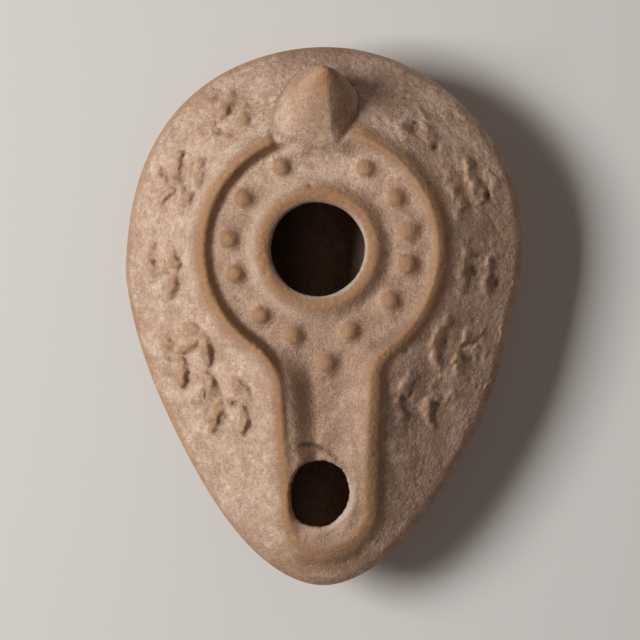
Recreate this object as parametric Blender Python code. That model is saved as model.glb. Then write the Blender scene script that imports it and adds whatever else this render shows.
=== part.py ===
"""A mould-made terracotta oil lamp: a hollow egg-shaped vessel with a ringed filling hole, a keyhole-shaped
ridge round the discus and channel, a wick hole, thirteen pellets, worn shoulder relief and a knob handle.

Metres, +Z up. The origin is on the ground under the middle of the lamp, the nozzle points to -Y, and the
underside of the foot lies at Z = 0.
"""

import math

import bmesh
import bpy
from mathutils import Matrix, Vector

MM = 0.001

# Vessel: the two mould halves meet at the seam, the widest line of the lamp.
LENGTH = 96.0 * MM
WIDTH = 70.8 * MM
WIDEST_FROM_TAIL = 39.8 * MM
SEAM_HEIGHT = 18.0 * MM
SHOULDER_SLOPE = math.radians(33.0)
CROWN_RISE = 14.0 * MM
CROWN_ROUNDING = 8.0
WALL = 3.2 * MM
TAIL_CURVE = (1.93, 2.42)
NOZZLE_CURVE = (1.875, 1.336)
BOWL_CURVE = (2.3, 2.1)

# Sunk floor of the discus and channel, flatter than the dome round it.
FLOOR_RISE = 9.0 * MM
FLOOR_CURVE = (3.2, 1.9)

# Foot: a low ring that follows the egg outline.
FOOT_LENGTH = 44.0 * MM
FOOT_RING_WIDTH = 4.0 * MM
FOOT_LIFT = 1.2 * MM

# Filling hole and its ring.
DISCUS_FROM_TAIL = 36.3 * MM
DISCUS_SHIFT = 1.1 * MM
HOLE_RADIUS = 8.3 * MM
HOLE_FLARE = 0.4 * MM
RING_WIDTH = 3.5 * MM
RING_RISE = 2.0 * MM
RING_OVERHANG = 0.6 * MM

# Pellets round the discus, pressed in by hand at uneven turns, and one in the mouth of the channel.
PELLET_DIAMETER = 3.1 * MM
PELLET_RISE = 1.25 * MM
PELLET_TO_RING = 2.5 * MM
PELLET_TO_RIDGE = 1.8 * MM
PELLET_TURNS = (60, 33, 11, 350, 325, 291, 255, 229, 197, 174, 146, 114)
CHANNEL_PELLET_DROP = 4.4 * MM
CHANNEL_PELLET_SHIFT = 1.5 * MM

# Raised ridge: round the discus, down both sides of the channel and round the wick hole.
RIDGE_WIDTH = 3.3 * MM
RIDGE_RISE = 1.0 * MM
RIDGE_BEND_RADIUS = 8.0 * MM
CHANNEL_FLARE = 0.8 * MM

# Wick hole in the nozzle.
WICK_HOLE_FROM_TIP = 16.4 * MM
WICK_HOLE_SHIFT = 0.7 * MM
WICK_HOLE_WIDTH = 10.5 * MM
WICK_HOLE_LENGTH = 11.9 * MM
WICK_TO_RIDGE = 0.6 * MM
WICK_LIP = 2.9 * MM

# Knob handle: a cone that leans back over the tail, pinched to a crest down its front.
KNOB_FROM_TAIL = 11.6 * MM
KNOB_SHIFT = 1.4 * MM
KNOB_DIAMETER = 15.2 * MM
KNOB_HEIGHT = 9.8 * MM
KNOB_LEAN = 6.8 * MM
KNOB_CREST_TURN = math.radians(-68.0)
KNOB_PINCH = 0.5
KNOB_CURVE = (1.35, 1.0)

# Worn shoulder relief: five sprigs of strokes on each side.
SPRIG_COUNT = 5
SPRIG_FIRST_TURN = 58.0
SPRIG_TURN_STEP = 28.0
SPRIG_SIZE = 4.8 * MM
STROKE_WIDTH = 2.2 * MM
STROKE_RISE = 0.9 * MM
STROKE_TAPER = 0.3

# Strokes of a sprig in shares of its size: along and across the shoulder at each end, then the bow.
FORK = (
    (-0.7, 0.6, 0.1, 0.4, 0.0),
    (-0.7, -0.4, 0.2, 0.3, 0.4),
    (0.3, 0.5, 1.3, 0.8, -0.15),
    (0.1, -0.8, 1.0, -0.5, 0.0),
)
ARCH = (
    (-0.9, 0.6, 0.1, 0.4, 0.0),
    (-0.5, -0.4, 0.6, -0.6, 0.1),
    (1.1, 0.3, 0.8, -0.5, 0.3),
)
BRANCH = (
    (-1.2, -0.4, -0.4, 0.0, 0.0),
    (-1.0, 0.7, -0.1, 0.5, 0.0),
    (0.0, 0.2, 0.5, 1.0, 0.25),
    (-0.1, -0.9, 0.8, -0.5, -0.3),
    (0.8, -0.3, 1.4, 0.3, 0.2),
)
SPRIGS = (BRANCH, FORK, ARCH, FORK, BRANCH)

# Fineness of the curved surfaces.
SKIN_STEPS = (66, 20)
CAVITY_STEPS = (38, 12)
KNOB_STEPS = (20, 14)
PELLET_STEPS = (10, 6)
RING_STEPS = 36
HOLE_STEPS = 40
RING_SIDES = 10
RIDGE_ROUNDING = 2
STROKE_ROUNDING = 1
STROKE_STEPS = 3
ARC_STEP = math.radians(9.0)
SLOPE_STEP = math.radians(0.5)
OUTLINE_STEPS = 240
FINEST = 0.001 * MM

CLAY_COLOUR = (0.50, 0.33, 0.22, 1.0)
CLAY_ROUGHNESS = 0.9
SMOOTH_ANGLE = math.radians(40.0)

MIDDLE = Vector((0.0, LENGTH / 2 - WIDEST_FROM_TAIL))
DISCUS_CENTRE = Vector((-DISCUS_SHIFT, LENGTH / 2 - DISCUS_FROM_TAIL))
WICK_HOLE_CENTRE = Vector((-WICK_HOLE_SHIFT, WICK_HOLE_FROM_TIP - LENGTH / 2))
KNOB_CENTRE = Vector((-KNOB_SHIFT, LENGTH / 2 - KNOB_FROM_TAIL))
RING_OUTER_RADIUS = HOLE_RADIUS + RING_WIDTH
PELLET_CIRCLE = RING_OUTER_RADIUS + PELLET_TO_RING + PELLET_DIAMETER / 2
RIDGE_CIRCLE = PELLET_CIRCLE + PELLET_DIAMETER / 2 + PELLET_TO_RIDGE + RIDGE_WIDTH / 2
CHANNEL_HALF = WICK_HOLE_WIDTH / 2 + WICK_TO_RIDGE + RIDGE_WIDTH / 2
KNOB_RADIUS = KNOB_DIAMETER / 2
ABOVE_ALL = SEAM_HEIGHT + CROWN_RISE + KNOB_HEIGHT
CAVITY_RIM = SEAM_HEIGHT - WALL * (1.0 - math.sin(SHOULDER_SLOPE)) / math.cos(SHOULDER_SLOPE)


def clear_scene():
    """Remove whatever the file holds, so that only the lamp is left."""
    for thing in list(bpy.data.objects):
        bpy.data.objects.remove(thing, do_unlink=True)


def outline_radius(turn):
    """Distance from the middle of the lamp to its seam in the direction of turn, by halving."""
    half_width, tail, nozzle = WIDTH / 2, WIDEST_FROM_TAIL, LENGTH - WIDEST_FROM_TAIL
    across, along = abs(math.cos(turn)), math.sin(turn)
    reach, (power_x, power_y) = (tail, TAIL_CURVE) if along > 0 else (nozzle, NOZZLE_CURVE)
    low, high = 0.0, half_width + tail + nozzle
    while high - low > FINEST:
        radius = (low + high) / 2
        share = (radius * across / half_width) ** power_x + (radius * abs(along) / reach) ** power_y
        low, high = (radius, high) if share < 1 else (low, radius)
    return (low + high) / 2


def inset_radius(turn, inset):
    """The outline moved inwards by inset, measured square to the outline."""
    radius = outline_radius(turn)
    change = outline_radius(turn + SLOPE_STEP) - outline_radius(turn - SLOPE_STEP)
    slope = change / (2 * SLOPE_STEP * radius)
    return radius - inset * math.hypot(1.0, slope)


def outline_points():
    """Plan points all the way round the outline, the first one again at the end."""
    points = []
    for index in range(OUTLINE_STEPS + 1):
        turn = 2 * math.pi * index / OUTLINE_STEPS
        radius = outline_radius(turn)
        points.append((MIDDLE.x + radius * math.cos(turn), MIDDLE.y + radius * math.sin(turn)))
    return points


def seam_distance(point):
    """Shortest plan distance from a point to the seam."""
    nearest = LENGTH
    for (ax, ay), (bx, by) in zip(OUTLINE, OUTLINE[1:]):
        run_x, run_y = bx - ax, by - ay
        share = ((point[0] - ax) * run_x + (point[1] - ay) * run_y) / (run_x ** 2 + run_y ** 2)
        share = min(1.0, max(0.0, share))
        nearest = min(nearest, math.hypot(point[0] - ax - share * run_x, point[1] - ay - share * run_y))
    return nearest


def swell(share, curve):
    """Height of a dome from 1 in the middle to 0 at its rim, where share is 1."""
    power, root = curve
    return max(0.0, 1.0 - min(share, 1.0) ** power) ** (1.0 / root)


def share_at(point):
    """How far out a plan point lies, from 0 in the middle to 1 at the seam."""
    arm = Vector(point) - MIDDLE
    return arm.length / outline_radius(math.atan2(arm.y, arm.x))


def dome_height(point):
    """Height of the shoulder above a plan point: a straight slope from the seam that rounds over at the top."""
    climb = math.tan(SHOULDER_SLOPE) * seam_distance(point)
    return SEAM_HEIGHT + climb / (1.0 + (climb / CROWN_RISE) ** CROWN_ROUNDING) ** (1.0 / CROWN_ROUNDING)


def floor_height(point):
    """Height of the sunk discus and channel floor above a plan point."""
    return SEAM_HEIGHT + FLOOR_RISE * swell(share_at(point), FLOOR_CURVE)


def roof_height(point):
    """Height of the cavity's roof, one wall under both the shoulder and the sunk floor."""
    slope_roof = CAVITY_RIM + math.tan(SHOULDER_SLOPE) * max(0.0, seam_distance(point) - WALL)
    return min(slope_roof, max(CAVITY_RIM, floor_height(point) - WALL))


def bowl_height(share, lift, rim):
    """Height of the lower mould half, from its rim down to lift above the ground in the middle."""
    return rim - (rim - lift) * swell(share, BOWL_CURVE)


def finish(name, bm):
    """Turn a bmesh into an object of that name."""
    mesh = bpy.data.meshes.new(name)
    bm.to_mesh(mesh)
    bm.free()
    thing = bpy.data.objects.new(name, mesh)
    bpy.context.collection.objects.link(thing)
    return thing


def guide(thing):
    """Mark an object as one that only shapes the lamp."""
    thing.hide_render = True
    thing.display_type = "WIRE"
    return thing


def blend(body, other, operation):
    """Add or cut another shape with a live Boolean."""
    step = body.modifiers.new(other.name, "BOOLEAN")
    step.object = other
    step.operation = operation
    step.solver = "EXACT"


def egg_shell(name, steps, inset, top, rim, lift):
    """A closed egg-shaped body: above its rim the given top over each plan point, and a bowl under it."""
    bm = bmesh.new()
    bmesh.ops.create_uvsphere(bm, u_segments=steps[0], v_segments=steps[1], radius=1.0)
    for vertex in bm.verts:
        turn = math.atan2(vertex.co.y, vertex.co.x)
        share = min(1.0, math.hypot(vertex.co.x, vertex.co.y))
        radius = inset_radius(turn, inset) * share
        plan = MIDDLE + radius * Vector((math.cos(turn), math.sin(turn)))
        height = top(plan) if vertex.co.z > 0 and share < 1 - FINEST else bowl_height(share, lift, rim)
        vertex.co = (plan.x, plan.y, height)
    return finish(name, bm)


def foot():
    """The foot ring, from the ground up into the wall of the bowl."""
    scale = FOOT_LENGTH / LENGTH
    top = bowl_height(scale, FOOT_LIFT, SEAM_HEIGHT) + WALL / 2
    quarter_step = math.pi / SKIN_STEPS[0] / 2
    bm = bmesh.new()
    loops = []
    for inset in (0.0, FOOT_RING_WIDTH):
        circle = bmesh.ops.create_circle(
            bm, cap_ends=False, segments=SKIN_STEPS[0], radius=1.0,
            matrix=Matrix.Rotation(quarter_step, 4, "Z"),
        )["verts"]
        for vertex in circle:
            turn = math.atan2(vertex.co.y, vertex.co.x)
            radius = outline_radius(turn) * scale - inset
            vertex.co = (MIDDLE.x + radius * math.cos(turn), MIDDLE.y + radius * math.sin(turn), 0.0)
        loops += list({edge for vertex in circle for edge in vertex.link_edges})
    base = bmesh.ops.bridge_loops(bm, edges=loops)["faces"]
    raised = bmesh.ops.extrude_face_region(bm, geom=base, use_keep_orig=True)["geom"]
    tops = [item for item in raised if isinstance(item, bmesh.types.BMVert)]
    bmesh.ops.translate(bm, verts=tops, vec=(0.0, 0.0, top))
    bmesh.ops.recalc_face_normals(bm, faces=bm.faces)
    return guide(finish("foot", bm))


def arc(centre, radius, start, end):
    """Plan points along an arc, from one turn to another."""
    steps = max(2, math.ceil(abs(end - start) / ARC_STEP))
    turns = [start + (end - start) * index / steps for index in range(steps + 1)]
    return [centre + radius * Vector((math.cos(turn), math.sin(turn))) for turn in turns]


def ridge_side():
    """Plan points of the left half of the ridge, from under the knob to the tip of the nozzle."""
    upper_half = CHANNEL_HALF + CHANNEL_FLARE
    reach = RIDGE_CIRCLE + RIDGE_BEND_RADIUS
    across = upper_half + RIDGE_BEND_RADIUS
    bend = DISCUS_CENTRE - Vector((across, math.sqrt(reach ** 2 - across ** 2)))
    start = math.pi / 2 + math.asin((KNOB_RADIUS - RIDGE_WIDTH) / RIDGE_CIRCLE)
    meet = math.atan2(bend.y - DISCUS_CENTRE.y, bend.x - DISCUS_CENTRE.x) + 2 * math.pi
    tip = WICK_HOLE_CENTRE.y - WICK_HOLE_LENGTH / 2 - WICK_LIP - RIDGE_WIDTH / 2
    turn_centre = Vector((WICK_HOLE_CENTRE.x, tip + CHANNEL_HALF))
    discus = arc(DISCUS_CENTRE, RIDGE_CIRCLE, start, meet)
    corner = arc(bend, RIDGE_BEND_RADIUS, meet - math.pi, 0.0)
    nozzle = arc(turn_centre, CHANNEL_HALF, math.pi, math.pi * 1.5)
    run_start, run_end = corner[-1], nozzle[0]
    run = [run_start.lerp(run_end, share) for share in (0.2, 0.4, 0.6, 0.8)]
    return discus + corner[1:] + run + nozzle


def ridge_path():
    """Plan points of the whole ridge: the left half, then its mirror image back to the knob."""
    left = ridge_side()
    axis = [DISCUS_CENTRE.x + (WICK_HOLE_CENTRE.x - DISCUS_CENTRE.x) * index / (len(left) - 1)
            for index in range(len(left))]
    right = [Vector((2 * middle - point.x, point.y)) for point, middle in zip(left, axis)]
    return left + right[-2::-1]


def tubes(name, runs, radius, rounding):
    """Round tubes with closed ends along runs of points, each a place and a share of the radius."""
    curve = bpy.data.curves.new(name, "CURVE")
    curve.dimensions = "3D"
    curve.bevel_depth = radius
    curve.bevel_resolution = rounding
    curve.use_fill_caps = True
    for run in runs:
        spline = curve.splines.new("POLY")
        spline.points.add(len(run) - 1)
        for point, (place, thickness) in zip(spline.points, run):
            point.co = (*place, 1.0)
            point.radius = thickness
    source = bpy.data.objects.new(name + "_line", curve)
    bpy.context.collection.objects.link(source)
    bpy.context.view_layer.update()
    mesh = bpy.data.meshes.new_from_object(source.evaluated_get(bpy.context.evaluated_depsgraph_get()))
    bpy.data.objects.remove(source, do_unlink=True)
    bm = bmesh.new()
    bm.from_mesh(mesh)
    bmesh.ops.remove_doubles(bm, verts=bm.verts, dist=FINEST)
    bmesh.ops.recalc_face_normals(bm, faces=bm.faces)
    bpy.data.meshes.remove(mesh)
    return finish(name, bm)


def sunk_floor():
    """What is taken off the dome inside the ridge, so that the discus and channel lie lower."""
    bm = bmesh.new()
    corners = [bm.verts.new((point.x, point.y, SEAM_HEIGHT)) for point in ridge_path()]
    base = bm.faces.new(corners)
    raised = bmesh.ops.extrude_face_region(bm, geom=[base])["geom"]
    tops = [item for item in raised if isinstance(item, bmesh.types.BMVert)]
    bmesh.ops.translate(bm, verts=tops, vec=(0.0, 0.0, ABOVE_ALL - SEAM_HEIGHT))
    bmesh.ops.recalc_face_normals(bm, faces=bm.faces)
    prism = guide(finish("sunk_floor", bm))
    kept = guide(egg_shell("kept_clay", SKIN_STEPS, 0.0, floor_height, SEAM_HEIGHT, FOOT_LIFT))
    blend(prism, kept, "DIFFERENCE")
    return prism


def ridge():
    """The raised ridge, a tube half buried in the dome."""
    sink = RIDGE_WIDTH / 2 - RIDGE_RISE
    run = [((point.x, point.y, dome_height(point) - sink), 1.0) for point in ridge_path()]
    return guide(tubes("ridge", [run], RIDGE_WIDTH / 2, RIDGE_ROUNDING))


def filling_ring():
    """The ring round the filling hole: a flattened bead that the hole then trims on its inner side."""
    bm = bmesh.new()
    bead = RING_WIDTH + RING_OVERHANG
    middle = RING_OUTER_RADIUS - bead / 2
    bmesh.ops.create_circle(
        bm, cap_ends=False, segments=RING_SIDES, radius=bead / 2,
        matrix=Matrix.Translation((middle, 0.0, 0.0)) @ Matrix.Rotation(math.pi / 2, 4, "X"),
    )
    bmesh.ops.spin(
        bm, geom=bm.verts[:] + bm.edges[:], cent=(0.0, 0.0, 0.0), axis=(0.0, 0.0, 1.0),
        angle=2 * math.pi, steps=RING_STEPS, use_merge=True,
    )
    bmesh.ops.remove_doubles(bm, verts=bm.verts, dist=FINEST)
    bmesh.ops.scale(bm, verts=bm.verts, vec=(1.0, 1.0, 2 * RING_RISE / bead))
    for vertex in bm.verts:
        plan = Vector((vertex.co.x, vertex.co.y)) + DISCUS_CENTRE
        vertex.co = (plan.x, plan.y, vertex.co.z + floor_height(plan))
    bmesh.ops.recalc_face_normals(bm, faces=bm.faces)
    return guide(finish("filling_ring", bm))


def pellet_places():
    """Plan places of the pellets: a circle round the filling hole and one in the channel's mouth."""
    places = []
    for turn in PELLET_TURNS:
        arm = Vector((math.cos(math.radians(turn)), math.sin(math.radians(turn))))
        places.append(DISCUS_CENTRE + PELLET_CIRCLE * arm)
    places.append(DISCUS_CENTRE + Vector((CHANNEL_PELLET_SHIFT, -PELLET_CIRCLE - CHANNEL_PELLET_DROP)))
    return places


def pellets():
    """Thirteen small round pellets, half buried in the sunk floor."""
    bm = bmesh.new()
    shape = Matrix.Diagonal((PELLET_DIAMETER / 2, PELLET_DIAMETER / 2, PELLET_RISE, 1.0))
    for place in pellet_places():
        lift = Matrix.Translation((place.x, place.y, floor_height(place)))
        bmesh.ops.create_uvsphere(
            bm, u_segments=PELLET_STEPS[0], v_segments=PELLET_STEPS[1], radius=1.0, matrix=lift @ shape,
        )
    return guide(finish("pellets", bm))


def knob_share(across, along):
    """How far out a place on the knob's base lies, from 0 to 1, with a crest line across its middle."""
    down = across * math.cos(KNOB_CREST_TURN) + along * math.sin(KNOB_CREST_TURN)
    aside = abs(along * math.cos(KNOB_CREST_TURN) - across * math.sin(KNOB_CREST_TURN))
    return min(1.0, KNOB_PINCH * aside + math.hypot(down, (1.0 - KNOB_PINCH) * aside))


def knob():
    """The knob handle: a pinched cone, leaning back, with its base buried in the shoulder and the discus."""
    bm = bmesh.new()
    bmesh.ops.create_uvsphere(bm, u_segments=KNOB_STEPS[0], v_segments=KNOB_STEPS[1], radius=1.0)
    top = dome_height(KNOB_CENTRE) + KNOB_HEIGHT
    for vertex in bm.verts:
        above = vertex.co.z > -FINEST
        rise = swell(knob_share(vertex.co.x, vertex.co.y), KNOB_CURVE) if above else 0.0
        plan = KNOB_CENTRE + Vector((vertex.co.x, vertex.co.y)) * KNOB_RADIUS
        buried = min(dome_height(plan), floor_height(plan)) - WALL / (3.0 if above else 1.5)
        vertex.co = (plan.x, plan.y + KNOB_LEAN * rise, buried + (top - buried) * rise)
    bmesh.ops.recalc_face_normals(bm, faces=bm.faces)
    return guide(finish("knob", bm))


def ridge_reach(turn):
    """How far the outer foot of the ridge lies from the middle of the lamp in one direction."""
    arms = [point - MIDDLE for point in ridge_path()]
    close = [arm.length for arm in arms
             if abs(math.remainder(math.atan2(arm.y, arm.x) - turn, 2 * math.pi)) < ARC_STEP]
    return max(close, default=RIDGE_CIRCLE) + RIDGE_WIDTH / 2


def stroke_run(centre, along, outward, stroke):
    """Points of one stroke of a sprig: a bowed line that follows the dome and thins towards its ends."""
    start_u, start_v, end_u, end_v, bow = stroke
    run = []
    for index in range(STROKE_STEPS + 1):
        share = index / STROKE_STEPS
        arch = math.sin(math.pi * share)
        u = start_u + (end_u - start_u) * share + bow * arch * (start_v - end_v)
        v = start_v + (end_v - start_v) * share + bow * arch * (end_u - start_u)
        plan = centre + (along * u + outward * v) * SPRIG_SIZE
        thickness = 1.0 - STROKE_TAPER * (1.0 - arch)
        sink = (STROKE_WIDTH / 2 - STROKE_RISE) * thickness
        run.append(((plan.x, plan.y, dome_height(plan) - sink), thickness))
    return run


def shoulder_relief(layer):
    """One stroke of every sprig on both shoulders, so that no two strokes of a layer touch."""
    runs = []
    for side in (1, -1):
        for index in range(SPRIG_COUNT):
            strokes = SPRIGS[index % len(SPRIGS)]
            if layer >= len(strokes):
                continue
            turn = math.radians(SPRIG_FIRST_TURN - index * SPRIG_TURN_STEP)
            turn = turn if side > 0 else math.pi - turn
            outward = Vector((math.cos(turn), math.sin(turn)))
            along = Vector((outward.y, -outward.x)) * side
            centre = MIDDLE + outward * (ridge_reach(turn) + outline_radius(turn)) / 2
            runs.append(stroke_run(centre, along, outward, strokes[layer]))
    return guide(tubes(f"shoulder_relief_{layer}", runs, STROKE_WIDTH / 2, STROKE_ROUNDING))


def filling_hole():
    """The filling hole, a little wider at the top, down through the roof of the vessel."""
    low = floor_height(DISCUS_CENTRE) - 2 * WALL
    bm = bmesh.new()
    bmesh.ops.create_cone(
        bm, cap_ends=True, segments=HOLE_STEPS, radius1=HOLE_RADIUS, radius2=HOLE_RADIUS + HOLE_FLARE,
        depth=ABOVE_ALL - low,
        matrix=Matrix.Translation((DISCUS_CENTRE.x, DISCUS_CENTRE.y, (ABOVE_ALL + low) / 2)),
    )
    return guide(finish("filling_hole", bm))


def wick_hole():
    """The oval wick hole, down through the roof of the nozzle."""
    low = floor_height(WICK_HOLE_CENTRE) - 2 * WALL
    shape = Matrix.Diagonal((WICK_HOLE_WIDTH / 2, WICK_HOLE_LENGTH / 2, 1.0, 1.0))
    place = Matrix.Translation((WICK_HOLE_CENTRE.x, WICK_HOLE_CENTRE.y, (ABOVE_ALL + low) / 2))
    bm = bmesh.new()
    bmesh.ops.create_cone(
        bm, cap_ends=True, segments=HOLE_STEPS, radius1=1.0, radius2=1.0, depth=ABOVE_ALL - low,
        matrix=place @ shape,
    )
    return guide(finish("wick_hole", bm))


def clay():
    """Matt pinkish-beige fired clay."""
    material = bpy.data.materials.new("fired_clay")
    material.use_nodes = True
    shader = material.node_tree.nodes["Principled BSDF"]
    shader.inputs["Base Color"].default_value = CLAY_COLOUR
    shader.inputs["Roughness"].default_value = CLAY_ROUGHNESS
    shader.inputs["Metallic"].default_value = 0.0
    return material


def lamp_body():
    """The whole lamp as one hollow piece of clay."""
    body = egg_shell("lamp_body", SKIN_STEPS, 0.0, dome_height, SEAM_HEIGHT, FOOT_LIFT)
    blend(body, sunk_floor(), "DIFFERENCE")
    blend(body, foot(), "UNION")
    blend(body, knob(), "UNION")
    blend(body, ridge(), "UNION")
    blend(body, filling_ring(), "UNION")
    blend(body, pellets(), "UNION")
    for layer in range(max(len(strokes) for strokes in SPRIGS)):
        blend(body, shoulder_relief(layer), "UNION")
    cavity = guide(egg_shell("cavity", CAVITY_STEPS, WALL, roof_height, CAVITY_RIM, FOOT_LIFT + WALL))
    blend(body, cavity, "DIFFERENCE")
    blend(body, filling_hole(), "DIFFERENCE")
    blend(body, wick_hole(), "DIFFERENCE")
    body.data.materials.append(clay())
    body.data.shade_smooth()
    body.data.set_sharp_from_angle(angle=SMOOTH_ANGLE)
    return body


OUTLINE = outline_points()

clear_scene()
lamp_body()
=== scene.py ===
"""A worn terracotta oil lamp, dressed for the camera.

The vessel of the frame is replaced by one finely modelled clay skin: the same egg-shaped body, sunk
discus and channel, ridge, filling ring, pellets, knob, wick hole and foot, with the wear of a dug-up lamp
on top and with painted shade and highlights in its colour. Lengths inside the classes are in millimetres,
and the finished mesh is in metres.
"""

from __future__ import annotations

import logging
import math
from dataclasses import dataclass, field
from enum import Enum
from typing import Callable, Sequence

import bmesh
import bpy
import numpy as np
from mathutils import Matrix, Vector, kdtree, noise

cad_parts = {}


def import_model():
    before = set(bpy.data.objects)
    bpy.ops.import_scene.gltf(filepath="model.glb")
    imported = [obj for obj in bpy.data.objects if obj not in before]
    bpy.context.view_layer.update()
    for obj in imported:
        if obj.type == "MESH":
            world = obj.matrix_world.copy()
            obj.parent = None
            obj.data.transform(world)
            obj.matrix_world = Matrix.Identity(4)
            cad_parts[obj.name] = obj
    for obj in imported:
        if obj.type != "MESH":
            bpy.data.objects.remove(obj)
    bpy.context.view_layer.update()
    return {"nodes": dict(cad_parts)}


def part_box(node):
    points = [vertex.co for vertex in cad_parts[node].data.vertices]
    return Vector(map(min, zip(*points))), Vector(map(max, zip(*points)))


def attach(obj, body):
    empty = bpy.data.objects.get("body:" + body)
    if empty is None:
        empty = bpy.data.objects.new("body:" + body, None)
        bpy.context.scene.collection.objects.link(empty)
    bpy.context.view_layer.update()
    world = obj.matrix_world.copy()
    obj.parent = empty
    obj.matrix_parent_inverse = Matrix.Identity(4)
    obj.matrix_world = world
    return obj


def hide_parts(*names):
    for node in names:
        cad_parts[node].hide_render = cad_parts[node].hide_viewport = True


LOG = logging.getLogger("oil_lamp")
MM = 0.001
NODE = "lamp_body"
BODY = "root"
Field = np.ndarray
Plan = tuple[float, float]
Colour = tuple[float, float, float]
Socket = bpy.types.NodeSocket


class Mask(Enum):
    """The measures painted on the skin for the clay finish to read."""

    RUB = "rub"
    # Darker recesses, painted crevice shade in the cut line and the pits, which also hold soil, and painted
    # shadow on the lee side of the relief.
    SOIL_AND_SHADE = "soil_and_shade"
    CRUST = "crust"
    # Darker patches: stained places, the lower discus, and painted shade over the right shoulder and in the
    # cast shadows of the knob and the right ridge.
    PATINA_AND_SHADE = "patina_and_shade"
    # Painted highlights on faces the key light strikes: the ring's bevel and left flank, the wick lip and
    # the ridge's left foot.
    PAINTED_HIGHLIGHT = "pale"
    EMBER = "ember"
    # Painted shade inside the lamp and down the hole walls, darkest on the left.
    INSIDE_SHADE = "inside_shade"


class Wear(Enum):
    """How well a pellet has lasted: its height and spread as shares of a fresh one."""

    ROUND = (1.0, 1.0)
    SOFT = (0.85, 1.08)


def ramp(low: float, high: float, value: Field) -> Field:
    """A smooth step.

    Args:
        low: where it starts to leave 0.
        high: where it reaches 1.
        value: the measure that it reads.

    Returns:
        0 below low, 1 above high, and a smooth rise between them.
    """
    share = np.clip((value - low) / (high - low), 0.0, 1.0)
    return share * share * (3.0 - 2.0 * share)


def swell(share: Field, curve: tuple[float, float]) -> Field:
    """Height of a dome.

    Args:
        share: how far out, 0 in the middle and 1 at the rim.
        curve: the dome's two powers, fullness first.

    Returns:
        1 in the middle, falling to 0 at the rim.
    """
    power, root = curve
    return np.maximum(0.0, 1.0 - np.clip(share, 0.0, 1.0) ** power) ** (1.0 / root)


def grain(x: Field, y: Field, z: Field, size: float, shift: float = 0.0) -> Field:
    """Smooth noise with lumps of a given size.

    Args:
        x, y, z: places in millimetres.
        size: width of a lump in millimetres.
        shift: moves the pattern, so that two layers differ.

    Returns:
        Values around 0, mostly within 1 of it.
    """
    scaled = np.stack((x / size + shift, y / size - shift, z / size), axis=-1).tolist()
    return np.array([noise.noise(place) for place in scaled]) * 2.0


def most(*measures: Field) -> Field:
    """The largest of several measures at each place."""
    return np.maximum.reduce(measures)


def nearest_on(points: Sequence[Plan], x: Field, y: Field) -> tuple[Field, Field]:
    """Distance to a line of points.

    Args:
        points: plan points of the line, in order.
        x, y: plan places.

    Returns:
        The distance to the line, and how far along it the nearest place lies, from 0 to 1.
    """
    line = np.array(points)
    lengths = np.hypot(*np.diff(line, axis=0).T)
    before = np.concatenate(([0.0], np.cumsum(lengths)))
    distance = np.full_like(x, np.inf)
    along = np.zeros_like(x)
    for index, length in enumerate(lengths):
        (ax, ay), (bx, by) = line[index], line[index + 1]
        share = np.clip(((x - ax) * (bx - ax) + (y - ay) * (by - ay)) / length ** 2, 0.0, 1.0)
        apart = np.hypot(x - ax - share * (bx - ax), y - ay - share * (by - ay))
        closer = apart < distance
        distance = np.where(closer, apart, distance)
        along = np.where(closer, (before[index] + share * length) / before[-1], along)
    return distance, along


def inside(points: Sequence[Plan], x: Field, y: Field) -> Field:
    """Which plan places lie inside a closed line of points."""
    within = np.zeros(x.shape, dtype=bool)
    line = np.array(points)
    for (ax, ay), (bx, by) in zip(line, np.roll(line, -1, axis=0)):
        if ay == by:
            continue
        crosses = (ay > y) != (by > y)
        within ^= crosses & (x < (bx - ax) * (y - ay) / (by - ay) + ax)
    return within


@dataclass
class Outline:
    """The egg-shaped plan of the lamp, fuller at the tail and pointed at the nozzle."""

    length: float
    width: float
    widest_from_tail: float = 39.8
    tail_curve: tuple[float, float] = (1.93, 2.42)
    nozzle_curve: tuple[float, float] = (1.875, 1.336)
    wobble: tuple[tuple[int, float, float], ...] = (
        (4, 0.15, 93), (5, 0.10, -165), (6, 0.19, 124), (7, 0.09, 112),
    )
    halvings: int = 40

    @property
    def middle(self) -> Plan:
        """The plan point that the outline is drawn round."""
        return 0.0, self.length / 2 - self.widest_from_tail

    def radius(self, turn: Field) -> Field:
        """Distance from the middle to the seam in each direction, by halving."""
        across, along = np.abs(np.cos(turn)), np.sin(turn)
        tail = along > 0
        reach = np.where(tail, self.widest_from_tail, self.length - self.widest_from_tail)
        power_x = np.where(tail, self.tail_curve[0], self.nozzle_curve[0])
        power_y = np.where(tail, self.tail_curve[1], self.nozzle_curve[1])
        low, high = np.zeros_like(turn), np.full_like(turn, 2 * self.length)
        for _ in range(self.halvings):
            radius = (low + high) / 2
            share = (2 * radius * across / self.width) ** power_x
            share = share + (radius * np.abs(along) / reach) ** power_y
            low, high = np.where(share < 1, radius, low), np.where(share < 1, high, radius)
        return low

    def uneven(self, turn: Field) -> Field:
        """How far the hand-trimmed edge stands out from the true outline."""
        waves = self.wobble
        return sum(size * np.cos(count * turn - math.radians(phase)) for count, size, phase in waves)

    def inset(self, x: Field, y: Field) -> Field:
        """Shortest plan distance in from the seam."""
        turns = np.radians(np.arange(0.0, 361.0, 1.5))
        reach = self.radius(turns)
        line = np.stack((reach * np.cos(turns), reach * np.sin(turns)), axis=1) + self.middle
        return nearest_on(line.tolist(), x, y)[0]

    def share(self, x: Field, y: Field) -> Field:
        """How far out plan places lie, 0 in the middle and 1 at the seam."""
        dx, dy = x - self.middle[0], y - self.middle[1]
        return np.hypot(dx, dy) / self.radius(np.arctan2(dy, dx))


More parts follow.
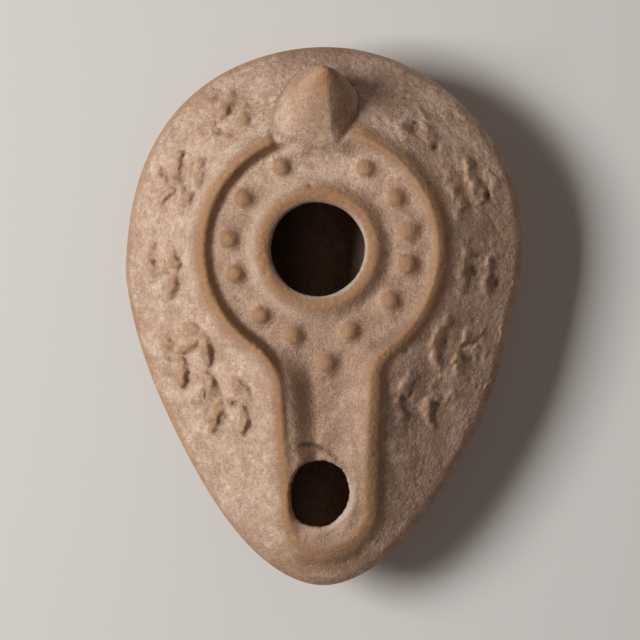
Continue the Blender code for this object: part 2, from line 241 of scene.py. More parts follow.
@dataclass
class Vessel:
    """Heights of the plain vessel: straight-sloped shoulder with a worn edge, sunk floor, bowl and foot."""

    outline: Outline
    seam: float = 18.0
    edge_drop: float = 0.9
    edge_width: float = 1.6
    slope: float = 33.0
    crown_rise: float = 14.0
    crown_rounding: float = 8.0
    floor_rise: float = 9.0
    floor_curve: tuple[float, float] = (3.2, 1.9)
    wall: float = 3.2
    foot_lift: float = 1.2
    foot_length: float = 44.0
    foot_ring: float = 4.0
    bowl_curve: tuple[float, float] = (2.3, 2.1)

    def capped(self, climb: Field, cap: float) -> Field:
        """A slope that rounds over into a level top at cap."""
        return climb / (1.0 + (climb / cap) ** self.crown_rounding) ** (1.0 / self.crown_rounding)

    def dome(self, x: Field, y: Field) -> Field:
        """Height of the shoulder, a straight slope up from the worn seam that rounds over at the top."""
        inset = self.outline.inset(x, y)
        climb = math.tan(math.radians(self.slope)) * inset
        worn = self.edge_drop * np.clip(1.0 - inset / self.edge_width, 0.0, 1.0) ** 2
        return self.seam + self.capped(climb, self.crown_rise) - worn

    def floor(self, x: Field, y: Field) -> Field:
        """Height of the sunk discus and channel floor."""
        return self.seam + self.floor_rise * swell(self.outline.share(x, y), self.floor_curve)

    def bowl(self, share: Field, lift: float) -> Field:
        """Height of the lower mould half, lift above the ground in the middle."""
        return self.seam - (self.seam - lift) * swell(share, self.bowl_curve)


@dataclass
class FillingRing:
    """The rounded ring round the filling hole, with a bevelled inner lip."""

    centre: Plan = (-1.1, 11.7)
    hole_radius: float = 8.3
    lip_radius: float = 8.6
    crest_radius: float = 10.1
    skirt: float = 1.8
    rise: float = 1.95
    inner_drop: float = 0.6
    lip_drop: float = 0.3

    def distance(self, x: Field, y: Field) -> Field:
        """Distance from the middle of the filling hole."""
        return np.hypot(x - self.centre[0], y - self.centre[1])

    def height(self, x: Field, y: Field) -> Field:
        """How far the ring stands over the discus floor."""
        reach = self.distance(x, y)
        outer = np.exp(-(np.maximum(0.0, reach - self.crest_radius) / self.skirt) ** 2.1)
        inner = np.clip((self.crest_radius - reach) / (self.crest_radius - self.lip_radius), 0.0, 1.3)
        chamfer = np.clip((self.lip_radius - reach) / (self.lip_radius - self.hole_radius), 0.0, 2.0)
        return self.rise * outer - self.inner_drop * inner ** 2.2 - self.lip_drop * chamfer


@dataclass
class WickHole:
    """The oval wick hole, the knife-cut step above it and the smooth lip below."""

    centre: Plan = (-0.7, -31.6)
    half_width: float = 5.2
    half_length: float = 5.95
    bulges: tuple[tuple[float, float, float], ...] = (
        (228.0, 20.0, 0.55), (48.0, 22.0, 0.22), (125.0, 22.0, 0.24), (314.0, 25.0, -0.25),
    )
    cut_turns: tuple[float, ...] = (2.0, 16.0, 35.0, 58.0, 84.0, 105.0, 122.0, 136.0)
    cut_reach: tuple[float, ...] = (5.3, 5.85, 6.15, 6.65, 8.15, 9.35, 9.6, 7.0)
    cut_depth: float = 0.75
    cut_groove: float = 0.5
    lip_turns: tuple[float, ...] = (170.0, 200.0, 235.0, 270.0, 300.0, 330.0, 360.0, 385.0)
    lip_width: tuple[float, ...] = (0.5, 0.8, 1.9, 3.1, 2.6, 1.6, 0.9, 0.4)
    lip_depth: float = 0.85
    lip: float = 3.1
    work_radius: float = 14.0

    def edge(self, turn: Field) -> Field:
        """Distance from the middle of the hole to its edge in each direction."""
        reach = 1.0 / np.hypot(np.cos(turn) / self.half_width, np.sin(turn) / self.half_length)
        degrees = np.degrees(turn)
        for middle, width, size in self.bulges:
            apart = (degrees - middle + 180.0) % 360.0 - 180.0
            reach = reach + size * np.exp(-(apart / width) ** 2)
        return reach + 0.03 * np.sin(9 * turn + 1.0) + 0.03 * np.sin(23 * turn)

    def around(self, x: Field, y: Field) -> tuple[Field, Field]:
        """Turn and distance of plan places from the middle of the hole."""
        dx, dy = x - self.centre[0], y - self.centre[1]
        return np.arctan2(dy, dx), np.hypot(dx, dy)

    def past_cut(self, turn: Field, far: Field) -> Field:
        """How far outside the rough cut a place lies."""
        return far - np.interp(np.degrees(turn), self.cut_turns, self.cut_reach, left=0.0, right=0.0)

    def facet(self, turn: Field, far: Field) -> Field:
        """Where the rough cut facet above the hole lies, from 0 to 1."""
        degrees = np.degrees(turn)
        fade = ramp(2.0, 12.0, degrees) * (1.0 - ramp(98.0, 124.0, degrees))
        return fade * (1.0 - ramp(-0.16, 0.16, self.past_cut(turn, far)))

    def cut_edge(self, turn: Field, far: Field) -> Field:
        """Where the groove along the upper edge of the cut facet lies, from 0 to 1; the dark line painted
        along it is painted crevice shade, with soil in the crevice.
        """
        degrees = np.degrees(turn)
        fade = ramp(2.0, 14.0, degrees) * (1.0 - ramp(106.0, 118.0, degrees))
        return fade * np.exp(-((self.past_cut(turn, far) + 0.05) / 0.4) ** 2)

    def hollow(self, x: Field, y: Field) -> Field:
        """How far the clay round the hole is cut away."""
        turn, far = self.around(x, y)
        beyond = far - self.edge(turn)
        facet = self.facet(turn, far)
        groove = self.cut_groove * self.cut_edge(turn, far)
        crumbs = 0.16 * grain(x, y, 0.0 * x, 1.1, 5.0) * facet
        degrees = np.degrees(turn) % 360.0
        degrees = degrees + 360.0 * (degrees < 30.0)
        width = np.interp(degrees, self.lip_turns, self.lip_width, left=0.4, right=0.4)
        slope = self.lip_depth * np.clip(1.0 - beyond / width, 0.0, 1.3) ** 1.3 * (1.0 - facet)
        rounding = 0.3 * np.clip(1.0 - beyond / 0.5, 0.0, 1.5) ** 2
        cut = self.cut_depth * facet + groove + crumbs + slope + rounding
        return cut * (far < self.work_radius)


@dataclass
class Ridge:
    """The keyhole-shaped ridge round the discus, channel and wick hole."""

    ring: FillingRing
    hole: WickHole
    circle: float = 20.95
    bend_radius: float = 8.0
    channel_half: float = 7.5
    flare: float = 0.8
    half_width: float = 1.45
    rise: float = 0.95
    channel_shift: float = 1.15
    left_end: float = 113.5
    right_end: float = 71.0
    arc_step: float = 4.0

    def arc(self, centre: Plan, radius: float, start: float, end: float) -> list[Plan]:
        """Plan points along an arc, from one turn to another, in degrees."""
        steps = max(2, math.ceil(abs(end - start) / self.arc_step))
        turns = np.radians(start + (end - start) * np.arange(steps + 1) / steps)
        return list(zip(centre[0] + radius * np.cos(turns), centre[1] + radius * np.sin(turns)))

    def half(self) -> list[Plan]:
        """Plan points of the left half, from under the knob to the tip of the nozzle."""
        (cx, cy), (hx, hy) = self.ring.centre, self.hole.centre
        reach = self.circle + self.bend_radius
        across = self.channel_half + self.flare + self.bend_radius
        bend = (cx - across, cy - math.sqrt(reach ** 2 - across ** 2))
        meet = math.degrees(math.atan2(bend[1] - cy, bend[0] - cx)) + 360.0
        tip = hy - self.hole.half_length - self.hole.lip - self.half_width
        discus = self.arc(self.ring.centre, self.circle, 90.0, meet)
        corner = self.arc(bend, self.bend_radius, meet - 180.0, 0.0)
        nozzle = self.arc((hx, tip + self.channel_half), self.channel_half, 180.0, 270.0)
        return discus + corner[1:] + nozzle

    def path(self) -> list[Plan]:
        """Plan points of the whole ridge line, back up its right half to the knob."""
        left = self.half()
        last = len(left) - 1
        axis = [self.ring.centre[0] + (self.hole.centre[0] - self.ring.centre[0]) * index / last
                for index in range(last + 1)]
        right = [(2 * middle - x, y) for (x, y), middle in zip(left, axis)]
        line = np.array(left + right[-2::-1])
        along = line[:, 1]
        in_channel = (1.0 - ramp(-17.0, -5.0, along)) * ramp(-43.0, -35.0, along)
        line[:, 0] += self.channel_shift * in_channel
        return [tuple(point) for point in line.tolist()]

    def signed(self, x: Field, y: Field) -> tuple[Field, Field]:
        """Distance from the crest line, negative inside it, and how far along the ridge."""
        points = self.path()
        distance, along = nearest_on(points, x, y)
        return np.where(inside(points, x, y), -distance, distance), along

    def gap(self, x: Field, y: Field, fade: float) -> Field:
        """Where the ridge is open under the knob.

        Args:
            x, y: plan places.
            fade: length over which its left end runs out.

        Returns:
            0 where the ridge is whole and 1 where it is gone.
        """
        turn = np.degrees(np.arctan2(y - self.ring.centre[1], x - self.ring.centre[0]))
        millimetre = math.degrees(1.0 / self.circle)
        from_left = (self.left_end - turn) / millimetre
        from_right = (turn - self.right_end) / millimetre
        return ramp(-0.4, fade, from_left) * ramp(-2.0, 3.0, from_right)


@dataclass(frozen=True)
class Pellet:
    """One pellet: its turn round the filling hole, its reach, its diameter and its wear."""

    turn: float
    reach: float
    diameter: float = 2.9
    wear: Wear = Wear.ROUND

    def height(self, ring: FillingRing, x: Field, y: Field, rise: float) -> Field:
        """How far the pellet stands over the floor.

        Args:
            ring: the filling ring that the pellets are set round.
            x, y: plan places.
            rise: height of a fresh pellet.

        Returns:
            The height of the pellet and its low skirt.
        """
        keep, spread = self.wear.value
        turn = math.radians(self.turn)
        px = ring.centre[0] + self.reach * math.cos(turn)
        py = ring.centre[1] + self.reach * math.sin(turn)
        share = np.hypot(x - px, y - py) / (0.58 * self.diameter * spread)
        return keep * rise * (np.exp(-np.clip(share, 0.0, 4.0) ** 2.8) + 0.10 * np.exp(-(share / 1.4) ** 2))


@dataclass
class Pellets:
    """The thirteen pellets, set by hand at uneven turns."""

    ring: FillingRing
    rise: float = 1.5
    row: tuple[Pellet, ...] = (
        Pellet(59.7, 16.5, 2.8, Wear.SOFT),
        Pellet(33.4, 16.5, 2.9, Wear.SOFT),
        Pellet(11.1, 16.3, 3.0, Wear.SOFT),
        Pellet(350.5, 16.0, 3.15),
        Pellet(324.7, 15.7, 2.95),
        Pellet(291.3, 15.5, 2.85),
        Pellet(274.5, 20.2, 2.95),
        Pellet(254.6, 15.9, 2.9),
        Pellet(229.2, 15.4, 2.9),
        Pellet(197.0, 15.2, 2.85),
        Pellet(173.6, 15.8, 2.85),
        Pellet(145.8, 15.9, 2.9),
        Pellet(113.7, 15.8, 2.9),
    )

    def height(self, x: Field, y: Field) -> Field:
        """How far all the pellets stand over the floor."""
        return sum(pellet.height(self.ring, x, y, self.rise) for pellet in self.row)


@dataclass
class Knob:
    """The knob handle: a pinched cone that leans back over the tail, with a crest down its front."""

    vessel: Vessel
    centre: Plan = (-1.4, 36.4)
    radius: float = 7.6
    height: float = 9.8
    lean: float = 6.3
    shift: float = 1.4
    crest_turn: float = -68.0
    crest_sharpness: float = 0.5
    crest_rounding: float = 0.03
    curve: tuple[float, float] = (1.35, 1.0)

    def share(self, x: Field, y: Field) -> Field:
        """How far out from the knob's middle, 1 at its foot."""
        return np.hypot(x - self.centre[0], y - self.centre[1]) / self.radius

    def raise_clay(self, x: Field, y: Field, z: Field) -> tuple[Field, Field, Field]:
        """Pull the clay of the shoulder up into the knob.

        Args:
            x, y, z: places on the skin before the knob is pulled up.

        Returns:
            The places with the knob.
        """
        across, along = (x - self.centre[0]) / self.radius, (y - self.centre[1]) / self.radius
        turn = math.radians(self.crest_turn)
        down = across * math.cos(turn) + along * math.sin(turn)
        aside = np.hypot(-across * math.sin(turn) + along * math.cos(turn), self.crest_rounding)
        aside = aside - self.crest_rounding
        share = self.crest_sharpness * aside + np.hypot(down, (1.0 - self.crest_sharpness) * aside)
        rise = swell(share, self.curve)
        middle_x, middle_y = np.array([self.centre]).T
        apex = float(self.vessel.dome(middle_x, middle_y)[0]) + self.height
        return x + self.shift * rise, y + self.lean * rise, z * (1.0 - rise) + apex * rise


@dataclass(frozen=True)
class Stroke:
    """One worn raised stroke of the shoulder relief, or a sunk one where its rise is negative."""

    rise: float
    width: float
    points: tuple[Plan, ...]

    def add_to(self, total: Field, x: Field, y: Field, keep: Field) -> None:
        """Lay the stroke over the relief.

        Args:
            total: heights of the relief so far, which this changes.
            x, y: plan places.
            keep: how much of a stroke the wear has left at each place.
        """
        reach = 2.4 * self.width
        low, high = np.min(self.points, axis=0) - reach, np.max(self.points, axis=0) + reach
        near = (x > low[0]) & (x < high[0]) & (y > low[1]) & (y < high[1])
        distance, along = nearest_on(self.points, x[near], y[near])
        taper = 1.0 - 0.3 * (2.0 * along - 1.0) ** 2
        bump = self.rise * taper * keep[near] * np.exp(-(distance / (self.width * taper)) ** 3.2)
        total[near] = np.minimum(total[near], bump) if self.rise < 0 else np.maximum(total[near], bump)


@dataclass
class ShoulderRelief:
    """The relief of both shoulders, too worn to read, crisper at the lower left."""

    ragged: float = 0.22
    right_ragged: float = 0.42
    spread: float = 1.38
    left_keep: float = 1.65
    right_keep: float = 0.72
    sunk_keep: float = 0.6
    left: tuple[Stroke, ...] = (
        Stroke(0.6, 0.9, ((-16.3, 39.0), (-17.4, 37.0), (-18.4, 34.9))),
        Stroke(0.35, 0.6, ((-21.0, 38.0), (-19.3, 38.1))),
        Stroke(0.45, 0.8, ((-22.2, 32.7), (-20.8, 34.0), (-19.6, 34.8))),
        Stroke(0.45, 0.9, ((-13.9, 36.6), (-14.4, 34.6), (-15.1, 32.2))),
        Stroke(0.4, 0.7, ((-17.6, 31.5), (-16.3, 31.0))),
        Stroke(0.65, 0.7, ((-25.9, 28.4), (-26.2, 26.8), (-26.5, 25.5))),
        Stroke(0.5, 0.6, ((-27.1, 25.0), (-26.2, 23.6), (-25.1, 22.5))),
        Stroke(0.45, 0.6, ((-29.7, 25.3), (-28.5, 24.1))),
        Stroke(0.6, 0.7, ((-30.0, 19.7), (-28.6, 21.1), (-27.3, 22.1))),
        Stroke(0.4, 0.7, ((-25.4, 18.8), (-24.6, 20.4), (-23.6, 21.6))),
        Stroke(0.55, 0.7, ((-21.9, 27.3), (-22.3, 25.0), (-22.7, 22.8))),
        Stroke(0.3, 0.6, ((-24.2, 28.2), (-23.7, 26.5), (-24.0, 24.8))),
        Stroke(0.6, 0.7, ((-30.9, 12.6), (-31.0, 10.4), (-30.5, 8.6), (-30.8, 6.6))),
        Stroke(0.45, 0.5, ((-30.4, 7.9), (-28.9, 8.1), (-27.6, 7.9))),
        Stroke(0.75, 0.7, ((-27.0, 10.9), (-26.7, 9.4), (-26.6, 7.9))),
        Stroke(0.75, 0.75, ((-26.9, 6.9), (-26.9, 5.2), (-27.5, 3.5))),
        Stroke(0.35, 0.5, ((-29.9, 6.3), (-29.3, 5.0), (-29.9, 3.4))),
        Stroke(0.7, 0.8, ((-24.6, -1.9), (-23.1, -2.7), (-22.4, -4.0))),
        Stroke(0.7, 0.8, ((-29.0, -3.9), (-27.6, -5.1), (-26.5, -6.1))),
        Stroke(0.7, 0.75, ((-26.2, -6.1), (-24.6, -5.6), (-22.8, -4.5))),
        Stroke(1.05, 0.8, ((-21.5, -3.3), (-20.9, -5.6), (-20.5, -8.4))),
        Stroke(0.95, 0.75, ((-25.6, -7.9), (-25.1, -9.7), (-25.5, -12.2))),
        Stroke(0.5, 0.8, ((-28.6, -7.0), (-27.0, -6.9))),
        Stroke(0.4, 0.7, ((-29.2, -9.0), (-27.2, -10.0))),
        Stroke(1.05, 0.85, ((-21.1, -10.6), (-20.1, -12.4), (-19.2, -14.0))),
        Stroke(0.8, 0.8, ((-16.0, -11.2), (-14.9, -12.9), (-13.6, -14.5))),
        Stroke(0.9, 0.8, ((-14.5, -16.6), (-14.2, -18.5), (-14.4, -20.6))),
        Stroke(1.05, 0.85, ((-18.7, -15.5), (-19.1, -17.4), (-20.1, -19.8))),
        Stroke(0.5, 0.6, ((-17.2, -14.9), (-15.7, -15.1))),
        Stroke(0.6, 0.7, ((-23.4, -15.2), (-21.9, -15.9), (-20.7, -16.0))),
        Stroke(0.5, 0.6, ((-22.6, -13.1), (-21.6, -14.4))),
        Stroke(-0.35, 0.55, ((-19.7, -4.6), (-19.2, -7.0), (-19.2, -8.8))),
        Stroke(-0.35, 0.5, ((-24.0, -8.6), (-24.0, -10.6))),
        Stroke(-0.35, 0.55, ((-18.8, -11.8), (-17.7, -13.6))),
        Stroke(-0.35, 0.55, ((-17.4, -16.3), (-18.1, -18.4))),
        Stroke(-0.3, 0.45, ((-13.0, -16.6), (-13.1, -19.8))),
        Stroke(-0.3, 0.3, ((-24.9, -7.1), (-23.6, -6.5), (-22.3, -5.6))),
        Stroke(-0.3, 0.4, ((-30.2, 10.2), (-29.7, 8.9))),
        Stroke(-0.25, 0.35, ((-25.7, 10.0), (-25.6, 8.0))),
        Stroke(-0.25, 0.3, ((-29.1, 19.1), (-27.8, 20.7), (-26.7, 21.6))),
        Stroke(-0.25, 0.35, ((-26.2, 24.9), (-25.4, 23.6), (-24.5, 22.7))),
        Stroke(-0.25, 0.4, ((-16.1, 38.0), (-16.9, 36.0))),
    )
    right: tuple[Stroke, ...] = (
        Stroke(0.5, 0.7, ((12.3, 34.5), (14.2, 32.6), (16.4, 31.4))),
        Stroke(0.45, 0.5, ((14.4, 37.4), (15.3, 36.0), (16.3, 35.2))),
        Stroke(0.55, 0.7, ((16.4, 37.4), (17.6, 35.9), (18.7, 34.4))),
        Stroke(0.4, 0.5, ((14.4, 34.5), (16.3, 34.7))),
        Stroke(0.75, 0.9, ((17.4, 33.7), (18.2, 32.6), (19.1, 31.4))),
        Stroke(0.4, 0.6, ((20.8, 27.3), (22.3, 25.6))),
        Stroke(0.75, 0.8, ((21.8, 24.9), (22.9, 23.4), (23.2, 21.4))),
        Stroke(0.9, 0.75, ((25.6, 27.5), (26.1, 25.0), (26.9, 22.6), (27.6, 20.4))),
        Stroke(0.5, 0.7, ((29.0, 25.4), (29.9, 24.0), (30.1, 22.9))),
        Stroke(0.7, 0.8, ((23.2, 20.9), (23.8, 19.4), (24.1, 17.6))),
        Stroke(0.8, 0.85, ((25.3, 13.2), (25.2, 10.4), (24.7, 7.2), (24.4, 4.6))),
        Stroke(0.8, 0.75, ((29.8, 10.6), (29.3, 7.8), (29.0, 4.4))),
        Stroke(0.3, 0.5, ((27.5, 13.3), (29.2, 12.4), (30.8, 12.8))),
        Stroke(1.0, 0.8, ((22.4, -0.4), (20.6, -2.3), (19.7, -5.2), (19.8, -9.2))),
        Stroke(0.8, 0.8, ((24.7, -4.7), (26.4, -3.5), (27.9, -2.7))),
        Stroke(0.85, 0.75, ((23.8, -5.2), (23.6, -7.6), (23.9, -9.9))),
        Stroke(0.55, 0.7, ((25.0, -6.6), (26.9, -6.2), (28.4, -6.9))),
        Stroke(0.95, 0.8, ((18.4, -14.8), (18.0, -16.9), (18.9, -19.0))),
        Stroke(0.8, 0.75, ((19.4, -14.4), (21.4, -14.3), (23.8, -13.6))),
        Stroke(0.8, 0.85, ((15.7, -10.3), (14.3, -12.2), (13.5, -14.4), (13.1, -18.2))),
        Stroke(0.4, 0.6, ((15.6, -14.4), (17.2, -13.4))),
        Stroke(0.45, 0.6, ((19.4, -10.9), (19.1, -12.9))),
        Stroke(0.35, 0.25, ((32.2, -2.2), (31.7, -3.4), (31.4, -5.0))),
        Stroke(0.3, 0.25, ((29.9, -10.0), (29.3, -11.7), (28.8, -13.2))),
        Stroke(-0.5, 0.5, ((28.8, 23.0), (29.0, 21.6), (29.1, 20.2))),
        Stroke(-0.35, 0.6, ((25.0, 22.4), (25.4, 20.4), (25.5, 18.2))),
        Stroke(-0.35, 0.55, ((26.5, 11.2), (26.1, 8.6), (25.7, 6.6))),
        Stroke(-0.35, 0.5, ((30.9, 8.6), (30.7, 6.0), (29.9, 3.8))),
        Stroke(-0.4, 0.6, ((21.5, -3.8), (21.6, -5.2), (20.9, -7.4))),
        Stroke(-0.35, 0.5, ((25.3, -5.5), (27.0, -4.7), (28.2, -3.6))),
        Stroke(-0.3, 0.5, ((25.0, -8.0), (26.3, -8.0))),
        Stroke(-0.5, 0.5, ((19.5, -15.6), (20.5, -15.9), (21.6, -16.2))),
        Stroke(-0.3, 0.5, ((19.4, -16.6), (19.8, -18.6))),
        Stroke(-0.3, 0.35, ((13.8, -14.3), (14.5, -16.6), (15.0, -20.8))),
        Stroke(-0.3, 0.3, ((28.9, 17.9), (30.0, 16.2), (31.1, 14.7))),
        Stroke(-0.25, 0.25, ((21.2, 27.6), (22.9, 26.0))),
    )

    def height(self, x: Field, y: Field) -> Field:
        """How far the strokes stand over the shoulder, negative where they are sunk."""
        flat = 0.0 * x
        ragged = np.where(x > 0, self.right_ragged, self.ragged)
        warp_x = x + ragged * (grain(x, y, flat, 2.4, 21.0) + 0.6 * grain(x, y, flat, 0.95, 15.0))
        warp_y = y + ragged * (grain(x, y, flat, 2.4, 37.0) + 0.6 * grain(x, y, flat, 0.95, 29.0))
        loss = np.where(x > 0, 0.55, 0.32)
        keep = np.clip(0.85 + loss * grain(x, y, flat, 2.2, 3.0), 0.2, 1.35)
        keep = keep * (1.0 + 0.4 * ramp(12.0, 20.0, y) * (x < 0))
        raised, sunk = np.zeros_like(x), np.zeros_like(x)
        for side, kept in ((self.left, self.left_keep), (self.right, self.right_keep)):
            for stroke in side:
                share = self.sunk_keep if stroke.rise < 0 else kept
                worn = Stroke(stroke.rise * share, stroke.width * self.spread, stroke.points)
                worn.add_to(sunk if stroke.rise < 0 else raised, warp_x, warp_y, keep)
        return raised + sunk


@dataclass(frozen=True)
class Pit:
    """A pit or scar: its place, radius and depth in millimetres."""

    x: float
    y: float
    radius: float
    depth: float


@dataclass(frozen=True)
class SoftPatch:
    """A soft-edged patch of the skin, used for darker stained places and for painted shadows: its middle,
    half sizes, tilt in degrees and strength.
    """

    x: float
    y: float
    half_x: float
    half_y: float
    tilt: float
    amount: float

    def cover(self, x: Field, y: Field) -> Field:
        """How strongly the patch covers plan places."""
        turn = math.radians(self.tilt)
        dx, dy = x - self.x, y - self.y
        across = (dx * math.cos(turn) + dy * math.sin(turn)) / self.half_x
        along = (-dx * math.sin(turn) + dy * math.cos(turn)) / self.half_y
        return self.amount * np.exp(-(across ** 2 + along ** 2) ** 1.5)


@dataclass
class Spots:
    """Plan places on the upper skin, and where each lies among the lamp's features."""

    x: Field
    y: Field
    share: Field
    signed: Field
    along: Field
    reach: Field
    knob: Field
    gap: Field

    @property
    def channel(self) -> Field:
        """0 in the discus and 1 down the channel."""
        return 1.0 - ramp(-12.0, -3.0, self.y)

    @property
    def trough(self) -> Field:
        """1 in the open stretch of the channel, between the discus and the wick hole."""
        return self.channel * ramp(-29.0, -22.0, self.y)

    @property
    def right(self) -> Field:
        """0 on the lit left half and 1 on the right half."""
        return ramp(-2.0, 6.0, self.x)

    @property
    def outside(self) -> Field:
        """1 on the shoulder, past the ridge."""
        return ramp(0.5, 2.5, self.signed)


@dataclass
class Surface:
    """Everything that shapes the upper skin, summed into one height."""

    vessel: Vessel
    ring: FillingRing = field(default_factory=FillingRing)
    hole: WickHole = field(default_factory=WickHole)
    seed: int = 7
    pit_count: int = 150
    step_down: float = 0.4
    left_end_fade: float = 0.9
    opening_fade: float = 6.0
    crest_outer: float = 1.6
    crest_inner: float = 1.75
    crest_power: float = 3.4
    rub_half: float = 1.45
    ring_rub: tuple[float, float] = (9.85, 1.25)
    rim_share: tuple[float, float] = (0.972, 0.99)
    knob_tip: tuple[float, float] = (29.5, 34.0)
    pits: tuple[Pit, ...] = (
        Pit(-2.5, 22.9, 0.5, 0.5), Pit(-18.6, 32.5, 0.85, 0.6), Pit(-28.9, 25.1, 0.5, 0.5),
        Pit(-24.6, 19.4, 0.4, 0.4), Pit(-30.3, 9.4, 0.7, 0.5), Pit(-16.0, -15.6, 0.8, 0.5),
        Pit(-27.4, -7.6, 1.0, 0.35), Pit(16.2, 33.6, 1.3, 0.5), Pit(19.8, 29.9, 0.6, 0.6),
        Pit(28.9, 21.2, 0.6, 0.8), Pit(31.0, 5.7, 0.7, 0.6), Pit(26.3, 8.4, 1.6, 0.35),
        Pit(26.0, -7.6, 0.6, 0.4), Pit(21.4, -4.6, 0.5, 0.4), Pit(14.0, -14.6, 0.7, 0.5),
        Pit(20.3, -15.8, 0.5, 0.4), Pit(3.2, -2.9, 0.35, 0.35),
    )
    # Darker patches: stained places, and the painted shade marked below.
    stains_and_shadows: tuple[SoftPatch, ...] = (
        SoftPatch(-10.0, 44.0, 16.0, 4.0, 20.0, 0.4),
        # Painted shadow of the knob, cast onto the shoulder to its right.
        SoftPatch(10.0, 42.0, 14.0, 6.0, -20.0, 0.35),
        SoftPatch(-1.0, -43.5, 12.0, 4.0, 0.0, 0.8),
        SoftPatch(12.0, 8.0, 6.0, 12.0, 0.0, 0.3),
        SoftPatch(0.5, -15.0, 6.5, 15.0, 0.0, 0.75),
        # Painted shadow of the right channel ridge, cast onto the shoulder beside it.
        SoftPatch(12.6, -22.0, 4.4, 15.0, -12.0, 1.0),
        SoftPatch(-34.0, 10.0, 2.0, 22.0, 0.0, 0.35),
        SoftPatch(1.0, 46.0, 10.0, 2.8, 0.0, 0.7),
        SoftPatch(1.0, 30.5, 6.0, 2.6, 12.0, 0.4),
        # Painted shade over the right shoulder, which faces away from the key light.
        SoftPatch(25.0, 0.0, 10.0, 34.0, 0.0, 0.4),
        # Painted shade beside the right ridge, by the nozzle.
        SoftPatch(15.0, -32.0, 5.0, 9.0, -35.0, 0.7),
        # Painted shade on the upper right shoulder.
        SoftPatch(16.5, 34.0, 6.5, 3.6, -35.0, 0.6),
    )
    ember: SoftPatch = SoftPatch(-0.3, 40.6, 1.0, 2.4, -8.0, 0.85)
    tip_wear: SoftPatch = SoftPatch(-1.0, -43.6, 11.0, 3.0, 0.0, 0.6)

    def __post_init__(self) -> None:
        """Set up the parts that stand on the vessel."""
        self.ridge = Ridge(self.ring, self.hole)
        self.pellets = Pellets(self.ring)
        self.relief = ShoulderRelief()
        self.knob = Knob(self.vessel)

    def scattered_pits(self) -> list[Pit]:
        """Small pits strewn over the skin, the same on each run."""
        draw = np.random.default_rng(self.seed)
        turns = draw.uniform(0.0, 2 * math.pi, self.pit_count)
        shares = np.sqrt(draw.uniform(0.05, 0.95, self.pit_count))
        reach = self.vessel.outline.radius(turns) * shares
        radii = draw.uniform(0.25, 0.6, self.pit_count)
        depths = draw.uniform(0.1, 0.3, self.pit_count)
        middle = self.vessel.outline.middle
        return [
            Pit(middle[0] + far * math.cos(turn), middle[1] + far * math.sin(turn), radius, depth)
            for turn, far, radius, depth in zip(turns, reach, radii, depths)
        ]

    def pitting(self, x: Field, y: Field) -> Field:
        """How deep the pits and scars are."""
        total = np.zeros_like(x)
        for pit in (*self.pits, *self.scattered_pits()):
            near = (np.abs(x - pit.x) < 3 * pit.radius) & (np.abs(y - pit.y) < 3 * pit.radius)
            share = np.hypot(x[near] - pit.x, y[near] - pit.y) / pit.radius
            total[near] += pit.depth * np.exp(-share ** 3)
        return total

    def spots(self, x: Field, y: Field) -> Spots:
        """Find where plan places lie among the lamp's features."""
        signed, along = self.ridge.signed(x, y)
        return Spots(
            x, y, self.vessel.outline.share(x, y), signed, along, self.ring.distance(x, y),
            self.knob.share(x, y), self.ridge.gap(x, y, self.left_end_fade),
        )

    def shoulder(self, spots: Spots) -> Field:
        """How far each place has climbed from the sunk floor, 0, to the shoulder, 1."""
        opening = self.ridge.gap(spots.x, spots.y, self.opening_fade)
        narrow = ramp(-2.3, -0.3, spots.signed - 0.5 * spots.right)
        broad = ramp(-6.8, -1.3, spots.signed - 1.2 * spots.right)
        gentle = ramp(-5.5, -0.5, spots.signed)
        walled = narrow * (1.0 - spots.channel) + broad * spots.channel
        return walled * (1.0 - opening) + gentle * opening

    def crest(self, spots: Spots) -> Field:
        """How far the ridge stands up."""
        upper_right = ramp(0.86, 0.92, spots.along)
        lower_left = ramp(0.24, 0.32, spots.along) * (1.0 - ramp(0.46, 0.52, spots.along))
        outer = self.crest_outer + 0.45 * lower_left + 0.3 * upper_right
        inner = self.crest_inner + 0.35 * upper_right + spots.trough * (0.65 * spots.right - 0.4)
        width = np.where(spots.signed > 0, outer, inner)
        rise = self.ridge.rise * (1.0 - 0.2 * upper_right + 0.35 * spots.trough)
        line = spots.signed - (0.35 + 0.35 * spots.channel) * spots.right + 0.15 * spots.trough
        return rise * np.exp(-(np.abs(line) / width) ** self.crest_power) * (1.0 - spots.gap)

    @staticmethod
    def unevenness(spots: Spots, dome: Field, ring: Field, shoulder: Field) -> Field:
        """Lumps and roughness of the hand-worked and weathered clay.

        Args:
            spots: the plan places.
            dome: height of the plain shoulder there.
            ring: how far the filling ring stands up there.
            shoulder: 1 on the shoulder and 0 on the sunk floor.

        Returns:
            How far the skin stands over the true form.
        """
        x, y = spots.x, spots.y
        quiet = 1.0 - 0.6 * np.exp(-(spots.signed / 1.6) ** 2) - 0.7 * ramp(0.2, 0.8, ring)
        quiet = np.clip(quiet, 0.2, 1.0)
        lumps = 0.16 * grain(x, y, dome, 9.0) + 0.08 * grain(x, y, dome, 3.4, 4.0) * quiet
        crust = np.maximum(0.0, grain(x, y, dome, 1.9, 14.0)) * shoulder * ramp(4.0, -6.0, x)
        rough = 0.03 * grain(x, y, dome, 1.5, 9.0) + 0.04 * grain(x, y, dome, 0.8, 2.0) + 0.07 * crust
        return lumps + rough * quiet

